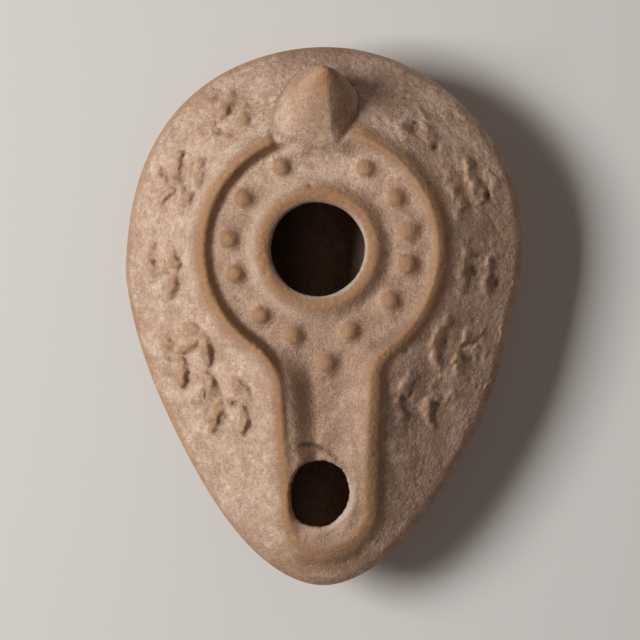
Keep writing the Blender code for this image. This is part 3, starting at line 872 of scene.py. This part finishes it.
    def rubbed(self, spots: Spots, z: Field, pellets: Field, relief: Field) -> Field:
        """Where handling and wear have rubbed the clay to tan.

        Args:
            spots: the plan places.
            z: heights there, with the knob.
            pellets: how far the pellets stand up there.
            relief: how far the strokes stand up there.

        Returns:
            The rub, from 0 to 1.
        """
        side = 2.0 * ramp(-6.0, 6.0, spots.x) - 1.0
        half = self.rub_half - 0.4 * spots.channel * (1.0 - spots.right)
        ridge = np.exp(-(np.abs(spots.signed - 0.5 * side) / half) ** self.crest_power) * (1.0 - spots.gap)
        ring = np.exp(-(np.abs(spots.reach - self.ring_rub[0]) / self.ring_rub[1]) ** 4)
        patchy = ramp(-0.5, 0.5, grain(spots.x, spots.y, 0.0 * spots.x, 1.3, 33.0))
        strokes = (0.4 + 0.35 * patchy) * ramp(0.3, 0.85, relief)
        nozzle = self.tip_wear.cover(spots.x, spots.y)
        level = most(ridge, ring, 0.85 * ramp(0.4, 0.9, pellets), strokes, nozzle) * (spots.knob > 0.9)
        tip = ramp(*self.knob_tip, z) * (spots.knob < 1.0)
        ragged_share = spots.share + 0.008 * grain(spots.x, spots.y, 0.0 * spots.x, 5.0, 8.0)
        rim = ramp(*self.rim_share, ragged_share) * ramp(-10.0, 0.0, -spots.x)
        return most(level, 0.4 * ramp(1.0, 0.6, spots.knob), 0.6 * tip, 0.5 * rim)

    def darkened(self, spots: Spots) -> Field:
        """Where the skin is darker: stained places, painted shade over the right shoulder and in the cast
        shadows of the knob and the right ridge, and the lower part of the discus.
        """
        flank = np.exp(-((spots.reach - 12.1) / 1.3) ** 2)
        discus = (0.4 * ramp(26.0, 16.0, spots.y) + 0.02) * (1.0 - spots.outside) * (1.0 - flank)
        # Stained places together with painted shadows and shade.
        stains_and_shadows = sum(soft_patch.cover(spots.x, spots.y) for soft_patch in self.stains_and_shadows)
        return np.clip(np.maximum(discus, stains_and_shadows), 0.0, 1.0)

    def painted_highlights(self, spots: Spots) -> Field:
        """Painted highlights where the key light strikes: the ring's bevel and left flank, the wick lip and
        the ridge's left foot.
        """
        x, y = spots.x, spots.y
        facing = (x - self.ring.centre[0]) - (y - self.ring.centre[1])
        bevel = np.exp(-((spots.reach - self.ring.hole_radius - 0.15) / 0.3) ** 2) * ramp(-4.0, 4.0, facing)
        flank = np.exp(-((spots.reach - 12.0) / 0.8) ** 2) * ramp(4.0, -6.0, x)
        foot = np.exp(-((spots.signed - 2.2) / 0.5) ** 2) * ramp(-8.0, -16.0, x) * ramp(0.0, 8.0, y)
        turn, far = self.hole.around(x, y)
        lip = (1.0 - ramp(0.2, 1.6, far - self.hole.edge(turn))) * ramp(0.2, 0.8, np.cos(turn + 0.5))
        return most(bevel, 0.8 * lip, 0.3 * flank, 0.45 * foot)

    def place(self, x: Field, y: Field) -> tuple[Field, Field, Field, dict[Mask, Field]]:
        """Shape the upper skin over plan places.

        Args:
            x, y: plan places in millimetres.

        Returns:
            The places on the skin, and the masks there.
        """
        spots = self.spots(x, y)
        dome = self.vessel.dome(x, y)
        floor = np.minimum(self.vessel.floor(x, y), dome - self.step_down)
        shoulder = self.shoulder(spots)
        ring, pellets = self.ring.height(x, y), self.pellets.height(x, y)
        relief = self.relief.height(x, y) * ramp(0.6, 2.4, spots.signed)
        pits = self.pitting(x, y)
        z = floor + (dome - floor) * shoulder + self.crest(spots) + ring + pellets + relief
        z -= self.hole.hollow(x, y)
        z += (self.unevenness(spots, dome, ring, shoulder) - pits) * (1.0 - ramp(0.96, 1.0, spots.share))
        # Seed of the dark marks: painted crevice shade with soil in the cut line and the pits, and the
        # shoulder, where painted lee shadow may fall.
        shade_and_soil_seed = most(0.5 * spots.outside, self.hole.cut_edge(*self.hole.around(x, y)), ramp(0.2, 0.45, pits))
        x, y, z = self.knob.raise_clay(x, y, z)
        # The darker patches include painted shade and cast shadows.
        rub, patina_and_shade = self.rubbed(spots, z, pellets, relief), self.darkened(spots)
        right_fade = 1.0 - 0.7 * ramp(5.0, 20.0, spots.x)
        crust = np.maximum(spots.outside * right_fade, ramp(20.0, 27.0, spots.y))
        # The masks below carry painted highlights and painted shade along with the clay's own colours.
        masks = {
            Mask.RUB: rub,
            Mask.CRUST: crust * (1.0 - rub) * (1.0 - 0.6 * patina_and_shade),
            Mask.PATINA_AND_SHADE: patina_and_shade,
            Mask.PAINTED_HIGHLIGHT: self.painted_highlights(spots),
            Mask.EMBER: self.ember.cover(x, y) * (spots.knob < 1.0),
            Mask.SOIL_AND_SHADE: shade_and_soil_seed,
        }
        return x, y, z, masks


@dataclass
class ClaySkin:
    """Builds the mesh of the whole lamp."""

    surface: Surface
    columns: int = 252
    rows: int = 324
    bowl_steps: int = 292
    bowl_rings: int = 30
    cavity_steps: tuple[int, int] = (96, 36)
    seam_lip: float = 0.08
    sharp_angle: float = math.radians(55.0)

    @property
    def vessel(self) -> Vessel:
        """The plain vessel."""
        return self.surface.vessel

    def top(self, bm: bmesh.types.BMesh) -> dict[Mask, Field]:
        """Make the upper skin from a grid drawn out to the egg outline.

        Args:
            bm: the empty mesh that takes the grid.

        Returns:
            The masks, in the order of the grid's vertices.
        """
        bmesh.ops.create_grid(bm, x_segments=self.columns, y_segments=self.rows, size=1.0)
        flat = np.array([vertex.co[:2] for vertex in bm.verts])
        u, v = flat[:, 0], flat[:, 1]
        disc_x, disc_y = u * np.sqrt(1.0 - v * v / 2), v * np.sqrt(1.0 - u * u / 2)
        far = np.clip(np.hypot(disc_x, disc_y), 0.0, 1.0)
        turn = np.arctan2(disc_y, disc_x)
        share = np.sin(1.1 * far + (math.pi / 2 - 1.1) * far ** 4)
        outline = self.vessel.outline
        reach = outline.radius(turn) * share
        middle = outline.middle
        x, y = middle[0] + reach * np.cos(turn), middle[1] + reach * np.sin(turn)
        x, y, z, masks = self.surface.place(x, y)
        rim_height = self.vessel.seam - self.vessel.edge_drop
        out = outline.uneven(turn) * share ** 4 + self.seam_lip * np.exp(-((z - rim_height) / 0.5) ** 2)
        x, y = x + out * np.cos(turn), y + out * np.sin(turn)
        self.paint_soil_and_shade(masks, z, np.lexsort((np.round(u, 5), np.round(v, 5))))
        self.shape(bm.verts, x, y, z)
        return masks

    def paint_soil_and_shade(self, masks: dict[Mask, Field], z: Field, order: Field) -> None:
        """Darken the recesses, and paint shadow in the lee of the relief, on its side away from the key
        light.

        Args:
            masks: the masks, which this changes.
            z: heights of the skin.
            order: the order that lays the heights out row by row.
        """
        sheet = z[order].reshape(self.rows + 1, self.columns + 1)
        soft = self.softened(sheet)
        recess, lee = np.empty_like(z), np.empty_like(z)
        recess[order] = (soft - sheet).ravel()
        # Lee: how much higher the relief just to the left stands, so the painted shadow falls on the right,
        # away from the key light.
        lee[order] = (np.roll(sheet - soft, 2, axis=1) - sheet + soft).ravel()
        painted = masks[Mask.SOIL_AND_SHADE]
        # Painted crevice shade where the seed is strong, painted lee shadow on the shoulder elsewhere.
        cut_pit_and_lee_shade = np.where(painted > 0.5, painted, 1.5 * painted * ramp(0.15, 0.5, lee))
        open_clay = z < self.vessel.seam + self.vessel.crown_rise - 1.0
        # Darker recesses, with the painted shade over them.
        masks[Mask.SOIL_AND_SHADE] = np.maximum(0.7 * ramp(0.04, 0.45, recess) * open_clay, cut_pit_and_lee_shade)
        masks[Mask.CRUST] = masks[Mask.CRUST] * (1.0 - masks[Mask.SOIL_AND_SHADE])
        masks[Mask.INSIDE_SHADE] = np.zeros_like(z)

    @staticmethod
    def shape(verts: Sequence[bmesh.types.BMVert], x: Field, y: Field, z: Field) -> None:
        """Move the vertices of a starting shape to their places."""
        for vertex, place in zip(verts, np.stack((x, y, z), axis=-1).tolist()):
            vertex.co = place

    @staticmethod
    def softened(sheet: Field) -> Field:
        """The heights of the grid with their relief smoothed away."""
        soft = sheet.copy()
        for _ in range(10):
            padded = np.pad(soft, 1, mode="edge")
            soft = (padded[:-2, 1:-1] + padded[2:, 1:-1] + padded[1:-1, :-2] + padded[1:-1, 2:] + soft) / 5.0
        return soft

    def underside_station(self, share: float) -> tuple[float, float, float]:
        """One station down the underside, from the seam to the middle of the foot.

        Args:
            share: 0 just under the seam and 1 in the middle of the foot.

        Returns:
            Share of the outline, inset in millimetres and height.
        """
        vessel = self.vessel
        foot = vessel.foot_length / vessel.outline.length
        shoulder = float(vessel.bowl(np.array([foot + 0.02]), vessel.foot_lift)[0])
        if share < 0.62:
            down = 0.07 + math.acos(foot + 0.02) * share / 0.62
            out = max(math.cos(down), foot + 0.02)
            return out, 0.0, float(vessel.bowl(np.array([out]), vessel.foot_lift)[0])
        if share < 0.72:
            fall = (share - 0.62) / 0.10
            return foot, -0.35 * (1.0 - fall) ** 2, shoulder * (1.0 - fall) + 0.35 * fall
        if share < 0.82:
            across = (share - 0.72) / 0.10
            return foot, 0.35 + (vessel.foot_ring - 0.7) * across, 0.0
        if share < 0.88:
            climb = (share - 0.82) / 0.06
            return foot, vessel.foot_ring + 0.25 * climb, 0.35 + climb * (vessel.foot_lift - 0.1)
        return foot * (1.0 - share) / 0.12, vessel.foot_ring * (1.0 - share) / 0.12, vessel.foot_lift + 0.35

    def underside(self, bm: bmesh.types.BMesh) -> None:
        """Make the bowl and foot from the lower half of a sphere, and close it to the upper skin."""
        rim = [edge for edge in bm.edges if edge.is_boundary]
        made = bmesh.ops.create_uvsphere(
            bm, u_segments=self.bowl_steps, v_segments=2 * self.bowl_rings, radius=1.0,
        )["verts"]
        spare = [vertex for vertex in made if vertex.co.z > 0.5 / self.bowl_rings]
        bmesh.ops.delete(bm, geom=spare, context="VERTS")
        made = [vertex for vertex in made if vertex.is_valid]
        flat = np.array([vertex.co[:] for vertex in made])
        turn = np.arctan2(flat[:, 1], flat[:, 0])
        down = np.arcsin(np.clip(-flat[:, 2], -1.0, 1.0)) / (math.pi / 2)
        steps, ring_of = np.unique(np.round(down, 4), return_inverse=True)
        stations = np.array([self.underside_station(max(0.0, step)) for step in steps])
        share, inset, height = stations[ring_of].T
        outline = self.vessel.outline
        reach = outline.radius(turn) * share - inset + outline.uneven(turn) * share ** 4
        middle = outline.middle
        x, y = middle[0] + reach * np.cos(turn), middle[1] + reach * np.sin(turn)
        bowl = ramp(0.3, 2.5, height) * (share > 0.5)
        uneven = bowl * (0.18 * grain(x, y, height, 11.0, 6.0) + 0.06 * grain(x, y, height, 3.0, 1.0))
        x, y = x + uneven * np.cos(turn), y + uneven * np.sin(turn)
        self.shape(made, x, y, height)
        lower_rim = [edge for edge in bm.edges if edge.is_boundary and edge not in set(rim)]
        bmesh.ops.bridge_loops(bm, edges=rim + lower_rim)
        bmesh.ops.recalc_face_normals(bm, faces=bm.faces)

    def cutter(self) -> bpy.types.Object:
        """The empty inside of the lamp, with the necks of both holes, as one closed shape."""
        vessel, outline = self.vessel, self.vessel.outline
        bm = bmesh.new()
        bmesh.ops.create_uvsphere(
            bm, u_segments=self.cavity_steps[0], v_segments=self.cavity_steps[1], radius=1.0,
        )
        flat = np.array([vertex.co[:] for vertex in bm.verts])
        turn = np.arctan2(flat[:, 1], flat[:, 0])
        share = np.clip(np.hypot(flat[:, 0], flat[:, 1]), 0.0, 1.0)
        step = math.radians(0.5)
        radius = outline.radius(turn)
        slope = (outline.radius(turn + step) - outline.radius(turn - step)) / (2 * step * radius)
        reach = (radius - vessel.wall * np.hypot(1.0, slope)) * share
        x = outline.middle[0] + reach * np.cos(turn)
        y = outline.middle[1] + reach * np.sin(turn)
        slant = math.radians(vessel.slope)
        drop = vessel.wall * (1.0 - math.sin(slant)) / math.cos(slant)
        rim = vessel.seam - drop
        climb = math.tan(slant) * np.maximum(0.0, outline.inset(x, y) - vessel.wall)
        roof = np.minimum(rim + climb, np.maximum(rim, vessel.floor(x, y) - vessel.wall))
        base = rim - (rim - vessel.foot_lift - vessel.wall) * swell(share, vessel.bowl_curve)
        height = np.where(flat[:, 2] > 0, roof, base)
        height = height + 0.12 * grain(x, y, height, 5.0, 3.0)
        self.shape(bm.verts, x, y, height)
        cavity = self.link("lamp_cavity", bm)
        for name, centre, edge in (
            ("filling_neck", self.surface.ring.centre, self.filling_edge),
            ("wick_neck", self.surface.hole.centre, self.surface.hole.edge),
        ):
            self.blend(cavity, self.neck(name, centre, edge), "UNION")
        return cavity

    def filling_edge(self, turn: Field) -> Field:
        """Distance from the middle of the filling hole to its slightly uneven edge."""
        return self.surface.ring.hole_radius + 0.05 * np.sin(3 * turn + 0.6) + 0.03 * np.sin(8 * turn)

    def neck(self, name: str, centre: Plan, edge: Callable[[Field], Field]) -> bpy.types.Object:
        """A straight neck through the roof.

        Args:
            name: name of the cutter.
            centre: plan middle of the hole.
            edge: gives the distance to the edge for an array of turns.

        Returns:
            The cutter object.
        """
        low = self.vessel.seam + 1.5
        high = self.vessel.seam + self.vessel.crown_rise + 8.0
        bm = bmesh.new()
        bmesh.ops.create_cone(
            bm, cap_ends=True, segments=132, radius1=1.0, radius2=1.0, depth=high - low,
            matrix=Matrix.Translation((0.0, 0.0, (low + high) / 2)),
        )
        for vertex in bm.verts:
            turn = math.atan2(vertex.co.y, vertex.co.x)
            reach = float(edge(np.array([turn]))[0])
            vertex.co.x = centre[0] + reach * math.cos(turn)
            vertex.co.y = centre[1] + reach * math.sin(turn)
        return self.link(name, bm)

    @staticmethod
    def link(name: str, bm: bmesh.types.BMesh) -> bpy.types.Object:
        """Turn a bmesh in millimetres into an object in metres."""
        bmesh.ops.scale(bm, vec=(MM, MM, MM), verts=bm.verts)
        mesh = bpy.data.meshes.new(name)
        bm.to_mesh(mesh)
        bm.free()
        thing = bpy.data.objects.new(name, mesh)
        bpy.context.collection.objects.link(thing)
        return thing

    @staticmethod
    def blend(thing: bpy.types.Object, other: bpy.types.Object, operation: str) -> None:
        """Add or cut another shape, keep the result in the mesh and delete the other shape."""
        step = thing.modifiers.new("blend", "BOOLEAN")
        step.object = other
        step.operation = operation
        step.solver = "EXACT"
        bpy.context.view_layer.update()
        evaluated = thing.evaluated_get(bpy.context.evaluated_depsgraph_get())
        result = bpy.data.meshes.new_from_object(evaluated)
        thing.modifiers.clear()
        thing.data = result
        bpy.data.objects.remove(other, do_unlink=True)

    def paint(self, thing: bpy.types.Object, places: Field, masks: dict[Mask, Field]) -> None:
        """Write the masks onto the finished mesh.

        Args:
            thing: the finished lamp.
            places: where the masks were measured, in millimetres.
            masks: the masks there.
        """
        tree = kdtree.KDTree(len(places))
        for index, place in enumerate(places.tolist()):
            tree.insert(place, index)
        tree.balance()
        count = len(thing.data.vertices)
        flat = np.empty(count * 3)
        thing.data.vertices.foreach_get("co", flat)
        found = flat.reshape(-1, 3) / MM
        hits = [tree.find(place) for place in found.tolist()]
        nearest = np.array([hit[1] for hit in hits])
        apart = np.array([hit[2] for hit in hits])
        on_top = apart < 0.25
        x, y, z = found.T
        share = self.vessel.outline.share(x, y)
        bowl = self.vessel.bowl(share, self.vessel.foot_lift)
        within = ~on_top & (share < 0.955) & (z > bowl + 1.2)
        for mask in Mask:
            values = np.where(on_top, masks[mask][nearest], 0.0)
            # Painted shade inside the lamp and down the hole walls, darkest on the left, which the rim keeps
            # from the key light.
            if mask is Mask.INSIDE_SHADE:
                values = np.where(within, 1.0 - ramp(-7.0, 3.0, x + 1.0), values)
            if mask is Mask.CRUST:
                values = np.where(~on_top & ~within, 0.6, values)
            if mask is Mask.RUB:
                foot_edge = ~on_top & ~within & (z < 0.6)
                values = np.where(foot_edge, 0.7, values)
            layer = thing.data.attributes.new(mask.value, "FLOAT", "POINT")
            layer.data.foreach_set("value", values.astype(np.float32))

    def build(self) -> bpy.types.Object:
        """Build the whole lamp as one closed hollow mesh.

        Returns:
            The lamp's object, at the origin.
        """
        bm = bmesh.new()
        masks = self.top(bm)
        places = np.array([vertex.co[:] for vertex in bm.verts])
        self.underside(bm)
        lamp = self.link("oil_lamp_clay", bm)
        self.blend(lamp, self.cutter(), "DIFFERENCE")
        self.paint(lamp, places, masks)
        lamp.data.shade_smooth()
        lamp.data.set_sharp_from_angle(angle=self.sharp_angle)
        return lamp


@dataclass
class ClayLayers:
    """Lays patterns and colours over one another in the nodes of a material."""

    tree: bpy.types.NodeTree

    def __post_init__(self) -> None:
        """Take the lamp's own coordinates."""
        self.place = self.tree.nodes.new("ShaderNodeTexCoord").outputs["Object"]

    def enter(self, value: Socket | Colour | float, socket: Socket) -> None:
        """Give a socket a pattern, one plain colour or one plain number."""
        if isinstance(value, Socket):
            self.tree.links.new(value, socket)
        elif isinstance(value, tuple):
            socket.default_value = (*value, 1.0)
        else:
            socket.default_value = value

    def noise(self, scale: float, detail: float, roughness: float, place: Socket | None = None) -> Socket:
        """A noise pattern on the lamp's coordinates, or on those given."""
        node = self.tree.nodes.new("ShaderNodeTexNoise")
        node.inputs["Scale"].default_value = scale
        node.inputs["Detail"].default_value = detail
        node.inputs["Roughness"].default_value = roughness
        self.enter(self.place if place is None else place, node.inputs["Vector"])
        return node.outputs["Fac"]

    def slanted(self) -> Socket:
        """The lamp's coordinates drawn out along a slant, so that a pattern on them runs in streaks."""
        node = self.tree.nodes.new("ShaderNodeMapping")
        node.inputs["Rotation"].default_value = (0.0, 0.0, 0.6)
        node.inputs["Scale"].default_value = (1.0, 0.35, 1.0)
        self.enter(self.place, node.inputs["Vector"])
        return node.outputs["Vector"]

    def window(self, value: Socket, low: float, high: float) -> Socket:
        """Stretch a pattern so that low becomes 0 and high becomes 1."""
        node = self.tree.nodes.new("ShaderNodeMapRange")
        node.interpolation_type = "SMOOTHSTEP"
        node.inputs["From Min"].default_value = low
        node.inputs["From Max"].default_value = high
        self.enter(value, node.inputs["Value"])
        return node.outputs["Result"]

    def reckon(self, operation: str, *values: Socket | float) -> Socket:
        """Work out one measure from others."""
        node = self.tree.nodes.new("ShaderNodeMath")
        node.operation = operation
        for value, socket in zip(values, node.inputs):
            self.enter(value, socket)
        return node.outputs["Value"]

    def times(self, one: Socket, other: Socket | float) -> Socket:
        """Multiply a pattern by another or by a number."""
        return self.reckon("MULTIPLY", one, other)

    def vein(self, value: Socket, width: float) -> Socket:
        """Thin wandering lines where a pattern passes through its middle value."""
        return self.reckon("COMPARE", value, 0.5, width)

    def painted(self, mask: Mask) -> Socket:
        """A mask painted on the mesh."""
        node = self.tree.nodes.new("ShaderNodeAttribute")
        node.attribute_name = mask.value
        return node.outputs["Fac"]

    def mix(self, amount: Socket, under: Socket | Colour, over: Socket | Colour) -> Socket:
        """Lay one colour over another, each either a pattern or one plain colour."""
        node = self.tree.nodes.new("ShaderNodeMix")
        node.data_type = "RGBA"
        self.enter(amount, node.inputs["Factor"])
        self.enter(under, node.inputs[6])
        self.enter(over, node.inputs[7])
        return node.outputs[2]

    def bumped(self, height: Socket, depth: float, normal: Socket | None = None) -> Socket:
        """The normal of a skin roughened by a pattern, with its depth in millimetres."""
        node = self.tree.nodes.new("ShaderNodeBump")
        node.inputs["Strength"].default_value = 1.0
        node.inputs["Distance"].default_value = depth * MM
        self.enter(height, node.inputs["Height"])
        if normal is not None:
            self.enter(normal, node.inputs["Normal"])
        return node.outputs["Normal"]


@dataclass(frozen=True)
class FiredClay:
    """Old fired clay: pinkish beige, rubbed tan on the crests, with pale crust and dark recesses, and with
    painted shadow, shade and highlights in its colour.
    """

    body: Colour = (0.54, 0.36, 0.255)
    body_deep: Colour = (0.43, 0.265, 0.175)
    rubbed: Colour = (0.365, 0.20, 0.094)
    rubbed_red: Colour = (0.39, 0.19, 0.10)
    crust: Colour = (0.68, 0.52, 0.40)
    # Colour of the painted highlights.
    pale: Colour = (0.56, 0.45, 0.35)
    # Colour of the darker stained places and painted shade, also used for the random dark mottling.
    patina_and_shade: Colour = (0.28, 0.165, 0.112)
    # Colour of the darker recesses, the painted crevice and lee shade, and the cracks.
    soil_and_shade: Colour = (0.17, 0.11, 0.08)
    speck: Colour = (0.16, 0.09, 0.055)
    ember: Colour = (0.50, 0.235, 0.115)
    # Colour of the painted shade inside the lamp.
    inside_shade: Colour = (0.065, 0.043, 0.028)
    roughness: float = 0.88
    specular: float = 0.25
    mottle_depth: float = 0.26
    fine_depth: float = 0.12

    def material(self) -> bpy.types.Material:
        """Build the node material.

        Returns:
            The finished material.
        """
        material = bpy.data.materials.new("old_fired_clay")
        material.use_nodes = True
        shader = material.node_tree.nodes["Principled BSDF"]
        shader.inputs["Roughness"].default_value = self.roughness
        shader.inputs["Specular IOR Level"].default_value = self.specular
        layers = ClayLayers(material.node_tree)
        mottle = layers.noise(1300.0, 4.0, 0.65)
        fine = layers.noise(3200.0, 3.0, 0.7)
        layers.enter(self.colour(layers, mottle, fine), shader.inputs["Base Color"])
        normal = layers.bumped(mottle, self.mottle_depth)
        layers.enter(layers.bumped(fine, self.fine_depth, normal), shader.inputs["Normal"])
        return material

    def colour(self, clay: ClayLayers, mottle: Socket, fine: Socket) -> Socket:
        """Lay the colours over the clay body, from the oldest layer to the last dust.

        Args:
            clay: the layers of the material.
            mottle: the middling noise pattern.
            fine: the finest noise pattern.

        Returns:
            The colour of the skin.
        """
        blotch = clay.noise(230.0, 8.0, 0.7)
        crusty = clay.noise(700.0, 9.0, 0.72)
        streaks = clay.noise(1500.0, 5.0, 0.7, clay.slanted())
        rub = clay.painted(Mask.RUB)

        colour = clay.mix(clay.window(blotch, 0.36, 0.64), self.body, self.body_deep)
        # Darker stained places and painted shade.
        patina_and_shade = clay.times(clay.window(blotch, 0.3, 0.55), clay.painted(Mask.PATINA_AND_SHADE))
        colour = clay.mix(patina_and_shade, colour, self.patina_and_shade)
        crust = clay.times(clay.window(crusty, 0.40, 0.64), clay.painted(Mask.CRUST))
        colour = clay.mix(clay.times(crust, clay.window(blotch, 0.68, 0.42)), colour, self.crust)
        crack = clay.vein(clay.noise(210.0, 7.0, 0.62), 0.008)
        crack = clay.times(crack, clay.window(crusty, 0.45, 0.6))
        colour = clay.mix(clay.times(crack, 0.7), colour, self.soil_and_shade)
        rubbed = clay.mix(clay.window(blotch, 0.52, 0.66), self.rubbed, self.rubbed_red)
        colour = clay.mix(clay.times(rub, clay.window(mottle, 0.2, 0.5)), colour, rubbed)
        ember = clay.times(clay.painted(Mask.EMBER), clay.window(crusty, 0.3, 0.5))
        colour = clay.mix(ember, colour, self.ember)
        # Darker recesses with painted crevice and lee shade.
        soil_and_shade = clay.times(clay.painted(Mask.SOIL_AND_SHADE), clay.window(mottle, 0.25, 0.6))
        colour = clay.mix(soil_and_shade, colour, self.soil_and_shade)
        # Painted highlights on the lit faces.
        colour = clay.mix(clay.painted(Mask.PAINTED_HIGHLIGHT), colour, self.pale)
        colour = clay.mix(clay.times(clay.window(mottle, 0.42, 0.72), 0.35), colour, self.patina_and_shade)
        colour = clay.mix(clay.times(clay.window(streaks, 0.5, 0.7), 0.5), colour, self.patina_and_shade)
        light = clay.times(clay.window(fine, 0.5, 0.34), clay.window(rub, 0.8, 0.0))
        colour = clay.mix(clay.times(light, 0.4), colour, self.crust)
        colour = clay.mix(clay.times(clay.window(fine, 0.56, 0.72), 0.6), colour, self.speck)
        # Painted shade inside the lamp.
        return clay.mix(clay.painted(Mask.INSIDE_SHADE), colour, self.inside_shade)


@dataclass
class Studio:
    """The floor, the lights and the camera, which looks straight down."""

    aim: Plan = (-0.715, -0.80)
    camera_height: float = 622.0
    focal_pixels: float = 3378.6
    frame_pixels: float = 640.0
    sensor: float = 36.0
    floor_size: float = 4000.0
    floor_colour: Colour = (0.62, 0.60, 0.57)
    floor_roughness: float = 0.9
    key_turn: float = 174.0
    key_climb: float = 48.0
    key_distance: float = 800.0
    key_size: float = 300.0
    key_power: float = 7.0
    fill_turn: float = 20.0
    fill_climb: float = 60.0
    fill_size: float = 900.0
    fill_power: float = 0.8
    fill_colour: Colour = (1.0, 0.77, 0.66)
    sky: float = 0.05

    def floor(self) -> bpy.types.Object:
        """A plain pale floor."""
        bm = bmesh.new()
        bmesh.ops.create_grid(bm, x_segments=1, y_segments=1, size=self.floor_size / 2)
        floor = ClaySkin.link("floor", bm)
        material = bpy.data.materials.new("pale_floor")
        material.use_nodes = True
        shader = material.node_tree.nodes["Principled BSDF"]
        shader.inputs["Base Color"].default_value = (*self.floor_colour, 1.0)
        shader.inputs["Roughness"].default_value = self.floor_roughness
        floor.data.materials.append(material)
        return floor

    def light(self, name: str, turn: float, climb: float, distance: float, size: float,
              power: float) -> bpy.types.Light:
        """A soft square lamp aimed at the middle of the object.

        Args:
            name: name of the light.
            turn: direction round the object in degrees, 0 along +X.
            climb: height above the horizon in degrees.
            distance: distance from the object in millimetres.
            size: side of the light in millimetres.
            power: power in watts.

        Returns:
            The light's data.
        """
        data = bpy.data.lights.new(name, "AREA")
        data.size = size * MM
        data.energy = power
        turn, climb = math.radians(turn), math.radians(climb)
        flat = math.cos(climb)
        away = Vector((flat * math.cos(turn), flat * math.sin(turn), math.sin(climb)))
        thing = bpy.data.objects.new(name, data)
        thing.location = away * distance * MM
        thing.rotation_euler = away.to_track_quat("Z", "Y").to_euler()
        bpy.context.collection.objects.link(thing)
        return data

    def camera(self) -> None:
        """The camera straight above the lamp."""
        data = bpy.data.cameras.new("camera")
        data.sensor_width = self.sensor
        data.lens = self.focal_pixels / self.frame_pixels * self.sensor
        thing = bpy.data.objects.new("camera", data)
        thing.location = (self.aim[0] * MM, self.aim[1] * MM, self.camera_height * MM)
        bpy.context.collection.objects.link(thing)
        bpy.context.scene.camera = thing

    def build(self) -> None:
        """Set up everything round the object."""
        self.floor()
        self.light("key", self.key_turn, self.key_climb, self.key_distance, self.key_size, self.key_power)
        fill = self.light(
            "fill", self.fill_turn, self.fill_climb, self.key_distance, self.fill_size, self.fill_power,
        )
        fill.color = self.fill_colour
        self.camera()
        world = bpy.data.worlds.new("studio")
        world.use_nodes = True
        world.node_tree.nodes["Background"].inputs["Color"].default_value = (1.0, 1.0, 1.0, 1.0)
        world.node_tree.nodes["Background"].inputs["Strength"].default_value = self.sky
        bpy.context.scene.world = world
        bpy.context.scene.view_settings.view_transform = "Standard"


def main() -> None:
    """Load the frame, build the lamp and the studio, and report each piece."""
    logging.basicConfig(level=logging.INFO, format="%(name)s: %(message)s")
    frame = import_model()
    low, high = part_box(NODE)
    outline = Outline(length=(high[1] - low[1]) / MM, width=(high[0] - low[0]) / MM)
    nodes = len(frame["nodes"])
    LOG.info("frame has %d node, outline %.1f by %.1f mm", nodes, outline.length, outline.width)
    lamp = ClaySkin(Surface(Vessel(outline))).build()
    lamp.data.materials.clear()
    lamp.data.materials.append(FiredClay().material())
    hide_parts(NODE)
    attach(lamp, BODY)
    triangles = sum(len(face.vertices) - 2 for face in lamp.data.polygons)
    LOG.info("%s: %d vertices, %d triangles", lamp.name, len(lamp.data.vertices), triangles)
    Studio().build()


if __name__ == "__main__":
    main()
